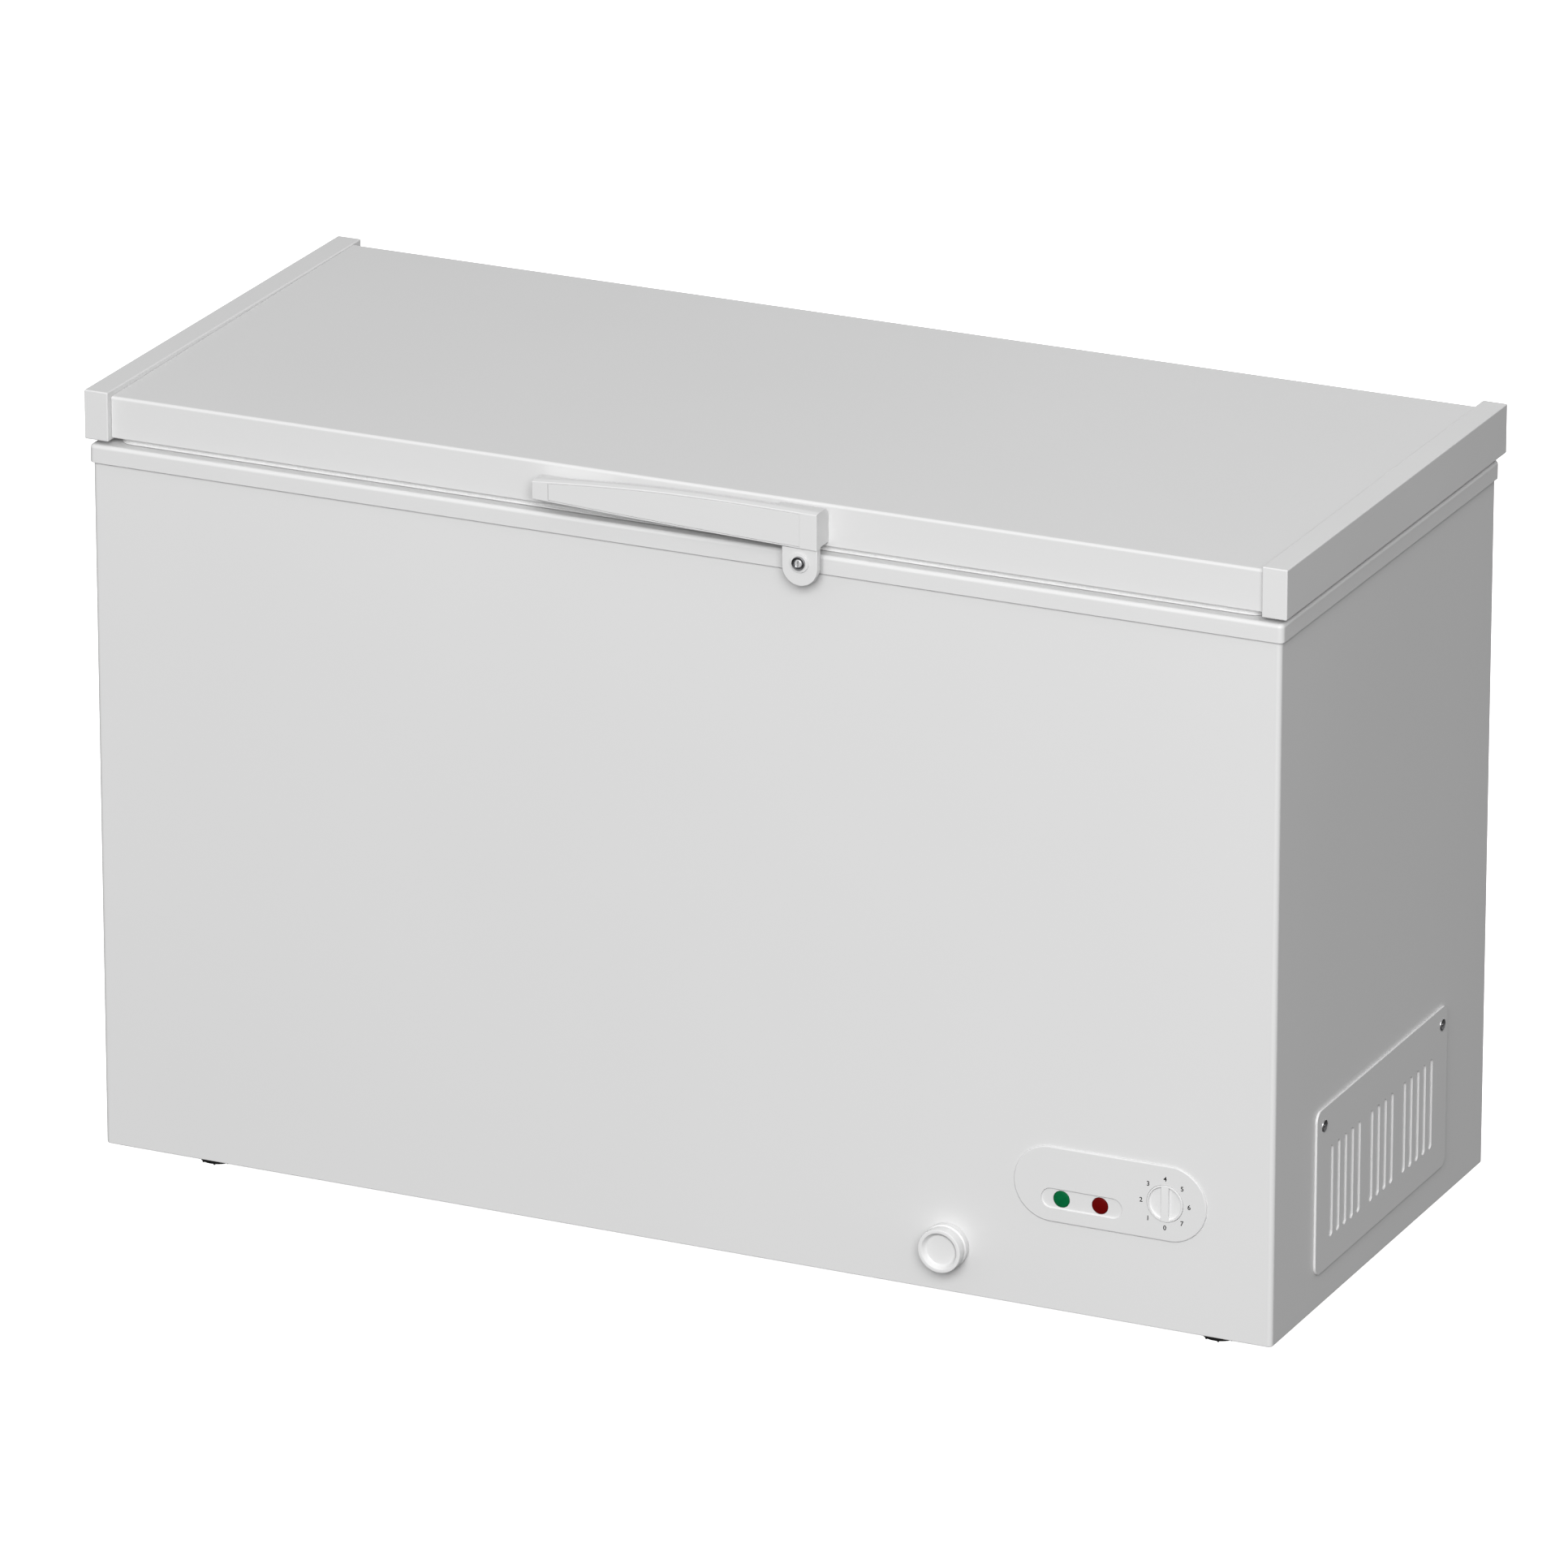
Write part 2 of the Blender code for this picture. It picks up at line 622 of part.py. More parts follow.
def make_collar():
    outer_x, outer_y = HALF_W + COLLAR_OVERHANG, HALF_D + COLLAR_OVERHANG
    lip_x, lip_y = LINER_HALF_X - 2 * GAP - PLASTIC, LINER_HALF_Y - 2 * GAP - PLASTIC
    edge = 0.0018
    sections = ((outer_x, outer_y, 0.006, RIM_Z),
                (outer_x, outer_y, 0.006, COLLAR_TOP_Z - edge),
                (outer_x - edge / 3, outer_y - edge / 3, 0.006, COLLAR_TOP_Z - edge / 3),
                (outer_x - edge, outer_y - edge, 0.006, COLLAR_TOP_Z),
                (lip_x + edge, lip_y + edge, 0.018 + edge, COLLAR_TOP_Z),
                (lip_x, lip_y, 0.018, COLLAR_TOP_Z - edge),
                (lip_x, lip_y, 0.018, COLLAR_TOP_Z - 0.024))
    loops = []
    for half_x, half_y, radius, z in sections:
        loops.append([(x, y, z) for x, y in rounded_rectangle(half_x, half_y, radius)])
    collar = lofted("collar_frame", loops, WHITE_PLASTIC)
    thicken(collar, PLASTIC, -1)
    return smooth(collar)


# ---------------------------------------------------------------- refrigeration

def make_evaporator():
    x = LINER_HALF_X + SHEET + GAP + EVAPORATOR_RADIUS
    y = LINER_HALF_Y + SHEET + GAP + EVAPORATOR_RADIUS
    low, pitch, turns = 0.365, 0.092, 4
    corners = [(SUCTION_X, y, STEP_Z + 0.004), (SUCTION_X, y, low)]
    for turn in range(turns):
        z = low + turn * pitch
        corners += [(-x, y, z + 0.25 * pitch), (-x, -y, z + 0.45 * pitch), (x, -y, z + 0.75 * pitch)]
        corners += [(x, y, z + 0.95 * pitch)]
    end_z = low + turns * pitch
    corners.append((EVAPORATOR_END_X, y, end_z))
    tube("evaporator_coil", rounded_path(corners, 0.018, 2), EVAPORATOR_RADIUS, ALUMINIUM)
    return end_z


def make_condenser():
    y = -HALF_D + SHEET + GAP + CONDENSER_RADIUS
    left, right, low, pitch, rows = -0.600, 0.570, 0.335, 0.080, 6
    corners = [(0.600, y, 0.200), (0.600, y, low)]
    for row in range(rows):
        z = low + row * pitch
        ends = (left, right) if row % 2 == 0 else (right, left)
        if row:
            corners.append((ends[1], y, z))
        corners.append((ends[0] if row < rows - 1 else 0.635, y, z))
    corners += [(0.635, y, 0.230), (0.630, -0.255, 0.205), (0.630, -0.255, 0.1853)]
    tube("condenser_coil", rounded_path(corners, 0.012, 2), CONDENSER_RADIUS, COPPER)


def make_compressor():
    r = COMPRESSOR_RADIUS
    profile = [(0, 0.215), (0.035, 0.213), (0.060, 0.205), (r - 0.004, 0.186), (r, 0.160), (r, 0.126),
               (r + 0.004, 0.124), (r + 0.004, 0.117), (r, 0.115), (r, 0.075), (r - 0.010, 0.050),
               (0.045, 0.0395), (0, 0.0395)]
    compressor = turned("compressor", profile, BLACK_ENAMEL, (COMPRESSOR_X, COMPRESSOR_Y, 0), steps=20)
    plate = box("join_compressor_plate", (COMPRESSOR_X - 0.105, COMPRESSOR_Y - 0.065, PLATE_Z),
                (COMPRESSOR_X + 0.105, COMPRESSOR_Y + 0.065, PLATE_Z + 0.003), None)
    join(compressor, plate)
    foot_z = BASE_Z + SHEET + GAP
    grommet = [(0.008, PLATE_Z - GAP), (0.011, PLATE_Z - 0.004), (0.009, PLATE_Z - 0.010),
               (0.012, PLATE_Z - 0.016), (0.012, foot_z), (0.004, foot_z), (0.004, PLATE_Z - GAP)]
    spots = [(sx * 0.090, sy * 0.050) for sx in (-1, 1) for sy in (-1, 1)]
    for i, (dx, dy) in enumerate(spots, start=1):
        turned(f"compressor_grommet_{i}", grommet, RUBBER, (COMPRESSOR_X + dx, COMPRESSOR_Y + dy, 0),
               steps=12, closed=True)
    face_y = COMPRESSOR_Y - r - 0.004 - GAP
    cover = box("terminal_cover", (COMPRESSOR_X - 0.030, face_y - 0.030, 0.090),
                (COMPRESSOR_X + 0.030, face_y, 0.150), BLACK_PLASTIC)
    bevel(cover, 0.004, 2)


def make_tubes(evaporator_end_z):
    r = COMPRESSOR_RADIUS
    y = LINER_HALF_Y + SHEET + GAP + EVAPORATOR_RADIUS
    suction = [(COMPRESSOR_X, COMPRESSOR_Y + r + GAP, 0.150), (COMPRESSOR_X, 0.180, 0.150),
               (SUCTION_X, y, 0.185), (SUCTION_X, y, STEP_Z + 0.004 - GAP)]
    tube("suction_tube", rounded_path(suction, 0.020, 3), EVAPORATOR_RADIUS, COPPER)
    condenser_y = -HALF_D + SHEET + GAP + CONDENSER_RADIUS
    discharge = [(COMPRESSOR_X + r + GAP, COMPRESSOR_Y, 0.145), (0.622, COMPRESSOR_Y, 0.145),
                 (0.622, -0.140, 0.120), (0.600, condenser_y, 0.150), (0.600, condenser_y, 0.200 - GAP)]
    tube("discharge_tube", rounded_path(discharge, 0.015, 3), CONDENSER_RADIUS, COPPER)
    top, bottom = 0.185, 0.060
    profile = [(0, top), (0.003, top), (0.003, top - 0.008), (0.009, top - 0.018), (0.009, bottom + 0.018),
               (0.003, bottom + 0.008), (0.003, bottom), (0, bottom)]
    turned("filter_drier", profile, COPPER, (0.630, -0.255, 0), steps=12)
    coil_radius, turns, low = 0.022, 3, 0.100
    centre = (CAPILLARY_X, capillary_y() - coil_radius)
    path = [(0.630, -0.255, bottom - GAP), (0.630, -0.255, 0.050), (0.630, -0.250, 0.043),
            (0.635, -0.150, 0.040), (0.640, 0.050, 0.060), (0.635, 0.160, low - 0.010)]
    steps = 8 * turns
    for i in range(steps + 1):
        angle = math.radians(90) - 2 * math.pi * turns * (1 - i / steps)
        path.append((centre[0] + coil_radius * math.cos(angle), centre[1] + coil_radius * math.sin(angle),
                     low + 0.030 * i / steps))
    path += [(CAPILLARY_X, capillary_y(), 0.150), (CAPILLARY_X, capillary_y(), evaporator_end_z - 0.012),
             (CAPILLARY_X + 0.008, y, evaporator_end_z), (EVAPORATOR_END_X - GAP, y, evaporator_end_z)]
    tube("capillary_tube", path, CAPILLARY_RADIUS, COPPER, resolution=1)


# ---------------------------------------------------------------- controls

def make_controls():
    back_y = -HALF_D - GAP
    middle = (PANEL_FRONT_Y + back_y) / 2
    fascia = outline_solid("control_fascia", [stadium(PANEL_X, PANEL_Z, PANEL_WIDTH, PANEL_HEIGHT, 12)],
                           back_y - PANEL_FRONT_Y, (0, middle, 0), FRONT_FACING, WHITE_PLASTIC)
    boss_front_y = PANEL_FRONT_Y + 0.0006
    boss_middle = (0, (BOSS_BACK_Y + boss_front_y) / 2, 0)
    boss = outline_solid("join_fascia_boss", [stadium(PANEL_X, PANEL_Z, *PANEL_BOSS, 10)],
                         BOSS_BACK_Y - boss_front_y, boss_middle, FRONT_FACING, None)
    join(fascia, boss)
    pocket_floor_y = PANEL_FRONT_Y + POCKET_DEPTH
    pocket_outline = stadium(POCKET_X, POCKET_Z, POCKET_WIDTH, POCKET_HEIGHT, 8)
    pocket = outline_solid("cut_indicator_pocket", [pocket_outline],
                           0.010, (0, pocket_floor_y - 0.005, 0), FRONT_FACING, None)
    hole = cylinder("cut_knob_hole", KNOB_RADIUS + GAP, 0.03, (KNOB_X, -HALF_D, KNOB_Z),
                    FRONT_FACING, None, 32)
    cut(fascia, pocket, hole)
    names = ("green", "red")
    for name, x, mat in zip(names, LENS_XS, (GREEN, RED)):
        cut(fascia, cylinder(f"cut_{name}_hole", LENS_RADIUS + GAP, 0.03, (x, -HALF_D, POCKET_Z),
                             FRONT_FACING, None, 20))
        front = 0.0007
        depth = 0.0035
        profile = [(0, front), (LENS_RADIUS - 0.0006, front), (LENS_RADIUS, front - 0.0006),
                   (LENS_RADIUS, -depth), (0, -depth)]
        turned(f"{name}_lens", profile, mat, (x, pocket_floor_y, POCKET_Z), FRONT_FACING, steps=20)
        cylinder(f"{name}_lamp", 0.005, 0.028, (x, pocket_floor_y + depth + GAP + 0.014, POCKET_Z),
                 FRONT_FACING, BLACK_PLASTIC, 12)
    smooth(fascia)
    make_control_housing()
    make_thermostat()


def make_control_housing():
    half_x, half_z, back_y = 0.092, 0.031, -0.214
    housing = box("control_housing", (PANEL_X - half_x, BOSS_BACK_Y + GAP, PANEL_Z - half_z),
                  (PANEL_X + half_x, back_y, PANEL_Z + half_z), BLACK_PLASTIC)
    remove_faces(housing, (0, -1, 0))
    thicken(housing, 0.002, -1)


def make_thermostat():
    hub_front, body_front = -0.2620, -0.2580
    thermostat = box("thermostat", (KNOB_X - 0.016, body_front, KNOB_Z - 0.020),
                     (KNOB_X + 0.016, -0.222, KNOB_Z + 0.020), BLACK_PLASTIC)
    hub = cylinder("join_thermostat_hub", 0.007, 0.006, (KNOB_X, hub_front + 0.003, KNOB_Z),
                   FRONT_FACING, None, 16)
    join(thermostat, hub)
    cut(thermostat, cylinder("cut_thermostat_hub", SHAFT_RADIUS + SHAFT_CLEARANCE, 0.020,
                             (KNOB_X, hub_front, KNOB_Z), FRONT_FACING, None, 16))
    face = KNOB_PROUD - PANEL_FRONT_Y
    r, edge = KNOB_RADIUS, 0.0007
    profile = [(0, face), (r - edge, face), (r, face - edge), (r, KNOB_BACK), (SHAFT_RADIUS, KNOB_BACK),
               (SHAFT_RADIUS, SHAFT_BACK), (0, SHAFT_BACK)]
    knob = turned("thermostat_knob", profile, WHITE_PLASTIC, (KNOB_X, 0, KNOB_Z), FRONT_FACING, steps=32)
    for side, start in (("right", -90), ("left", 90)):
        radius = r - KNOB_RIM
        half_grip = GRIP_WIDTH / 2
        reach = math.degrees(math.asin(half_grip / radius))
        chord = arc(0, 0, radius, start + reach, start + 180 - reach, 12)
        cutter = outline_solid(f"cut_knob_{side}", [chord], 2 * KNOB_RECESS, (KNOB_X, -face, KNOB_Z),
                               FRONT_FACING, None)
        cut(knob, cutter)


# ---------------------------------------------------------------- drain, vent, gland and feet

def drain_path(lead=0.0, tail=0.0):
    """From the front wall to the sump, run on at its start and at its end by the given lengths."""
    along = Vector((-0.54, 0.84, 0)).normalized()
    end = Vector((SUMP_X - 0.006, SUMP_Y + 0.010, DRAIN_Z)) + along * tail
    return [(DRAIN_X, -HALF_D + 0.0015 - lead, DRAIN_Z), (DRAIN_X, -0.250, DRAIN_Z),
            (SUMP_X + 0.012, SUMP_Y - 0.014, DRAIN_Z), tuple(end)]


def make_drain():
    stub_top = LINER_FLOOR_Z - SHEET - GAP
    pipe = tube("drain_tube", drain_path(), DRAIN_TUBE_RADIUS, WHITE_PLASTIC, resolution=3)
    stub = cylinder("join_drain_stub", DRAIN_TUBE_RADIUS - 0.0002, stub_top - DRAIN_Z,
                    (SUMP_X, SUMP_Y, (stub_top + DRAIN_Z) / 2), (0, 0, 0), None)
    join(pipe, stub)
    bore = tube("cut_drain_bore", drain_path(0.01, -0.003), DRAIN_BORE_RADIUS, None, resolution=3)
    drop = cylinder("cut_drain_drop", DRAIN_BORE_RADIUS - 0.0003, 0.030, (SUMP_X, SUMP_Y, DRAIN_Z + 0.015),
                    (0, 0, 0), None)
    cut(pipe, bore, drop)
    r, length = DRAIN_CAP_RADIUS, DRAIN_CAP_LENGTH
    dish = 0.005
    profile = [(0, length - dish), (0.0162, length - dish), (0.0180, length - 0.004),
               (0.0190, length - 0.0005), (0.0198, length), (r - 0.0007, length), (r, length - 0.0007),
               (r, length - 0.008), (r - 0.001, length - 0.009), (r - 0.001, 0.009),
               (r + 0.0003, 0.008), (r + 0.0003, GAP),
               (0.0075, GAP), (0.0075, -0.012), (0, -0.012)]
    turned("drain_cap", profile, WHITE_PLASTIC, (DRAIN_X, -HALF_D, DRAIN_Z), FRONT_FACING, steps=28)
    plug = [(0, 0.0065), (0.010, 0.0065), (0.0155, 0.0050), (0.016, GAP), (0.0074, GAP), (0.0070, -0.012),
            (0, -0.012)]
    turned("drain_plug", plug, RUBBER, (SUMP_X, SUMP_Y, LINER_FLOOR_Z), steps=20)


def make_vent():
    low_x = HALF_W + GAP
    outline = rounded_rectangle(VENT_WIDTH / 2, VENT_HEIGHT / 2, VENT_CORNER_RADIUS, 4, (0, VENT_Z))
    centre = (low_x + VENT_THICKNESS / 2, 0, 0)
    panel = outline_solid("vent_panel", [outline], VENT_THICKNESS, centre, SIDE_FACING, WHITE_STEEL)
    tray = box("join_vent_tray", (low_x - TRAY_DEPTH, -TRAY_HALF_Y, TRAY_Z[0]),
               (low_x + VENT_THICKNESS / 2, TRAY_HALF_Y, TRAY_Z[1]), None)
    join(panel, tray)
    slot_z = (SLOT_LOW_Z + SLOT_HIGH_Z) / 2
    for group, (middle, count) in enumerate(SLOT_GROUPS):
        for i in range(count):
            y = middle + (i - (count - 1) / 2) * SLOT_PITCH
            slot = stadium(y, slot_z, SLOT_WIDTH, SLOT_HIGH_Z - SLOT_LOW_Z, 4)
            cutter = outline_solid(f"cut_slot_{group}_{i}", [slot], 4 * TRAY_DEPTH, centre, SIDE_FACING, None)
            cut(panel, cutter)
    for i, y in enumerate((-SCREW_Y, SCREW_Y), start=1):
        cut(panel, cylinder(f"cut_vent_screw_{i}", SCREW_HOLE_RADIUS, 0.010, (low_x, y, SCREW_Z),
                            (0, math.radians(90), 0), None, 12))
        wrapper = bpy.data.objects["outer_wrapper"]
        cut(wrapper, cylinder(f"cut_wrapper_screw_{i}", SCREW_HOLE_RADIUS, 0.010, (HALF_W, y, SCREW_Z),
                              (0, math.radians(90), 0), None, 12))
        head = VENT_THICKNESS + 2 * GAP
        r = SCREW_HEAD_RADIUS
        profile = [(0, head + 0.0020), (r * 0.6, head + 0.0018), (r, head + 0.0008), (r, head),
                   (0.0020, head), (0.0020, -0.008), (0, -0.010)]
        screw = turned(f"vent_screw_{i}", profile, STEEL, (HALF_W, y, SCREW_Z), (0, math.radians(90), 0),
                       steps=12)
        top = HALF_W + head + 0.0020
        for turn, arm in ((0, "a"), (90, "b")):
            slot = box(f"cut_screw_{i}_{arm}", (top - 0.0009, -0.0025, -0.0005),
                       (top + 0.001, 0.0025, 0.0005), None)
            slot.location = (top, y, SCREW_Z)
            slot.rotation_euler = (math.radians(turn), 0, 0)
            bpy.context.view_layer.update()
            cut(screw, slot)


def make_gland():
    face = HALF_D - SHEET - GAP
    flange = face + GAP
    profile = [(0.011, flange + 0.0025), (0.0115, flange + 0.0015), (0.0115, flange), (0.0076, flange),
               (0.0076, face - 0.006), (0.0045, face - 0.006), (0.0045, flange + 0.0025)]
    turned("cord_gland", profile, BLACK_PLASTIC, (CORD_X, 0, CORD_Z), REAR_FACING, steps=16, closed=True)


def make_feet():
    r = FOOT_RADIUS
    profile = [(0, STUD_TOP_Z), (STUD_RADIUS - 0.0005, STUD_TOP_Z), (STUD_RADIUS, STUD_TOP_Z - 0.001),
               (STUD_RADIUS, 0.0110), (0.0090, 0.0100), (r, 0.0085), (r, 0.0018), (r - 0.0020, 0.0), (0, 0.0)]
    for end, x in FOOT_XS.items():
        for side, y in FOOT_YS.items():
            turned(f"foot_{side}_{end}", profile, BLACK_PLASTIC, (x, y, 0), steps=20)


# ---------------------------------------------------------------- lid

def make_lid_skin():
    fy, ry, top, bottom = SKIN_FRONT_Y, SKIN_REAR_Y, SKIN_TOP_Z, SKIN_BOTTOM_Z
    front, rear = SKIN_FRONT_RADIUS, SKIN_REAR_RADIUS
    path = [(fy + SKIN_RETURN, bottom), (fy, bottom)]
    path += arc(fy + front, top - front, front, 180, 90, 5)
    path += arc(ry - rear, top - rear, rear, 90, 0, 4)
    path += [(ry, bottom), (ry - SKIN_RETURN, bottom)]
    length = 2 * (LID_CAP_INNER_X - GAP)
    skin = sheet("lid_skin", path, length, SHEET, WHITE_STEEL, rotation=SIDE_FACING, side=-1)
    return smooth(skin)


def make_lid_caps():
    inset = CAP_INSET
    for side, sign in (("left", -1), ("right", 1)):
        inner, outer = sign * LID_CAP_INNER_X, sign * LID_CAP_OUTER_X
        cap = box(f"lid_end_cap_{side}", (min(inner, outer), LID_CAP_FRONT_Y, LID_CAP_BOTTOM_Z),
                  (max(inner, outer), LID_CAP_REAR_Y, LID_CAP_TOP_Z), WHITE_PLASTIC)
        bevel(cap, 0.0012, 2)
        wall = sign * (LID_CAP_OUTER_X - PLASTIC)
        mouth = sign * (LID_CAP_INNER_X - 0.01)
        pocket = box(f"cut_cap_pocket_{side}", (min(wall, mouth), SKIN_FRONT_Y + inset, SKIN_BOTTOM_Z + inset),
                     (max(wall, mouth), SKIN_REAR_Y - inset, SKIN_TOP_Z - inset), None)
        cut(cap, pocket)


def make_lid_inner():
    outer_x = LID_CAP_INNER_X - 3 * GAP
    front_y, rear_y = SKIN_FRONT_Y + SHEET + GAP, SKIN_REAR_Y - SHEET - GAP
    flange = [(-outer_x, front_y), (outer_x, front_y), (outer_x, rear_y), (-outer_x, rear_y)]
    loops = [[(x, y, LID_FLANGE_Z) for x, y in flange]]
    ring = ((BULGE_HALF_X + 0.004, BULGE_HALF_Y, LID_FLANGE_Z),
            (BULGE_HALF_X - BULGE_SLOPE, BULGE_HALF_Y - BULGE_SLOPE, BULGE_Z))
    for half_x, half_y, z in ring:
        loops.append([(-half_x, -half_y, z), (half_x, -half_y, z), (half_x, half_y, z), (-half_x, half_y, z)])
    panel = lofted("lid_inner_panel", loops, WHITE_PLASTIC)
    bm = bmesh.new()
    bm.from_mesh(panel.data)
    open_low = [e for e in bm.edges if e.is_boundary and all(abs(v.co.z - BULGE_Z) < 1e-5 for v in e.verts)]
    bmesh.ops.contextual_create(bm, geom=open_low)
    bmesh.ops.recalc_face_normals(bm, faces=bm.faces)
    if sum(f.normal.z * f.calc_area() for f in bm.faces) > 0:
        bmesh.ops.reverse_faces(bm, faces=bm.faces)
    bm.to_mesh(panel.data)
    bm.free()
    thicken(panel, LID_PANEL_THICKNESS, -1)


def make_lid_foam():
    margin = SHEET + GAP
    fy, ry = SKIN_FRONT_Y + margin, SKIN_REAR_Y - margin
    top, bottom = SKIN_TOP_Z - margin, LID_FLANGE_Z + LID_PANEL_THICKNESS + GAP
    front, rear = SKIN_FRONT_RADIUS, SKIN_REAR_RADIUS
    outline = [(fy, bottom)] + arc(fy + front, top - front, front, 180, 90, 4)
    outline += arc(ry - rear, top - rear, rear, 90, 0, 4) + [(ry, bottom)]
    foam = outline_solid("lid_foam", [outline], 2 * (LID_CAP_INNER_X - 3 * GAP), (0, 0, 0), SIDE_FACING, FOAM)
    half_x, half_y = BULGE_HALF_X - 0.012, BULGE_HALF_Y - 0.012
    bulge = box("join_lid_foam_bulge", (-half_x, -half_y, BULGE_Z + LID_PANEL_THICKNESS + 2 * GAP),
                (half_x, half_y, bottom + 0.01), None)
    join(foam, bulge)
    inset = CAP_INSET + GAP
    end_x = LID_CAP_OUTER_X - PLASTIC - GAP
    ends = box("join_lid_foam_ends", (-end_x, SKIN_FRONT_Y + inset, SKIN_BOTTOM_Z + inset),
               (end_x, SKIN_REAR_Y - inset, SKIN_TOP_Z - inset), None)
    join(foam, ends)


def make_gasket():
    half_x, half_y = GASKET_OUTER
    outer = rounded_rectangle(half_x, half_y, GASKET_RADIUS)
    inner = rounded_rectangle(half_x - GASKET_WIDTH, half_y - GASKET_WIDTH, 0.010)
    low, high = COLLAR_TOP_Z + GAP, SKIN_BOTTOM_Z + SHEET
    outline_solid("lid_gasket", [outer, inner], high - low, (0, 0, (low + high) / 2), (0, 0, 0), GASKET)


# ---------------------------------------------------------------- hinges

def make_hinge(side, x):
    left, right = x - HINGE_HALF_WIDTH, x + HINGE_HALF_WIDTH
    plate_y = HALF_D + GAP
    plate = HINGE_PLATE
    offset_y = HINGE_Y - KNUCKLE_RADIUS - plate
    top = HINGE_Z - KNUCKLE_RADIUS - plate
    path = ((plate_y + plate / 2, BRACKET_BOTTOM_Z), (plate_y + plate / 2, 0.738),
            (offset_y + plate / 2, 0.750), (offset_y + plate / 2, top))
    bracket = sheet(f"hinge_bracket_{side}", path, 2 * HINGE_HALF_WIDTH, plate, STEEL,
                    centre=(x, 0, 0), rotation=SIDE_FACING, side=0)
    for end, (low, high) in enumerate(((left, left + EAR_WIDTH), (right - EAR_WIDTH, right))):
        ear = box(f"join_ear_{side}_{end}", (low, offset_y, top - 0.004), (high, HINGE_Y, HINGE_Z), None)
        knuckle = cylinder(f"join_knuckle_{side}_{end}", KNUCKLE_RADIUS, EAR_WIDTH,
                           ((low + high) / 2, HINGE_Y, HINGE_Z), (0, math.radians(90), 0), None, 20)
        join(bracket, ear, knuckle)
    bore = cylinder(f"cut_bracket_bore_{side}", PIN_HOLE_RADIUS, 0.1, (x, HINGE_Y, HINGE_Z),
                    (0, math.radians(90), 0), None, 20)
    cut(bracket, bore)
    for i, z in enumerate(BRACKET_SCREW_ZS):
        cut(bracket, cylinder(f"cut_bracket_screw_{side}_{i}", 0.003, 0.02, (x, plate_y, z),
                              FRONT_FACING, None, 12))

    leaf_y = SKIN_REAR_Y + GAP
    leaf = box(f"hinge_leaf_{side}", (left + 0.002, leaf_y, LEAF_Z[0]),
               (right - 0.002, leaf_y + plate, LEAF_Z[1]), STEEL)
    low, high = x + LEAF_KNUCKLE[0], x + LEAF_KNUCKLE[1]
    arm = box(f"join_leaf_arm_{side}", (low, leaf_y + 0.0005, LEAF_ARM_Z[0]),
              (high, HINGE_Y, LEAF_ARM_Z[1]), None)
    web = box(f"join_leaf_web_{side}", (low + 0.001, leaf_y + 0.0010, LEAF_ARM_Z[0] + 0.001),
              (high - 0.001, leaf_y + plate, LEAF_Z[0] + 0.0095), None)
    knuckle = cylinder(f"join_leaf_knuckle_{side}", KNUCKLE_RADIUS, high - low,
                       ((low + high) / 2, HINGE_Y, HINGE_Z), (0, math.radians(90), 0), None, 20)
    join(leaf, arm, web, knuckle)
    cut(leaf, cylinder(f"cut_leaf_bore_{side}", PIN_HOLE_RADIUS, 0.1, (x, HINGE_Y, HINGE_Z),
                       (0, math.radians(90), 0), None, 20))

    pin = HINGE_HALF_WIDTH + 0.001
    profile = [(0, pin), (PIN_RADIUS, pin), (PIN_RADIUS, -pin - GAP), (0.0062, -pin - GAP),
               (0.0062, -pin - 0.002), (0, -pin - 0.002)]
    turned(f"hinge_pin_{side}", profile, STEEL, (x, HINGE_Y, HINGE_Z), (0, math.radians(90), 0), steps=16)

    wire, coil = 0.0008, 0.0056
    turns, per_turn = 5, 8
    start, end = x - 0.004, x + 0.016
    count = turns * per_turn
    points = []
    for i in range(count + 1):
        angle = 2 * math.pi * i / per_turn
        points.append((start + (end - start) * i / count, HINGE_Y + coil * math.cos(angle),
                       HINGE_Z + coil * math.sin(angle)))
    tube(f"hinge_spring_{side}", points, wire, STEEL, resolution=1)


# ---------------------------------------------------------------- handle and lock

def handle_outline(inset, left, right, count):
    """The bar seen from the front, between two x positions, with its long edges moved in by an inset."""
    low = [(x, z + inset) for x, z in bezier(HANDLE_BOTTOM, count)]
    high = [(x, z - inset) for x, z in bezier(HANDLE_TOP, count)]

    def clip(edge):
        inside = [p for p in edge if left < p[0] < right]
        return [(left, height_at(edge, left))] + inside + [(right, height_at(edge, right))]

    return clip(low) + clip(high)[::-1]


def height_at(edge, x):
    for (x0, z0), (x1, z1) in zip(edge, edge[1:]):
        if x0 <= x <= x1:
            return z0 + (z1 - z0) * (x - x0) / (x1 - x0)
    return edge[0][1] if x < edge[0][0] else edge[-1][1]


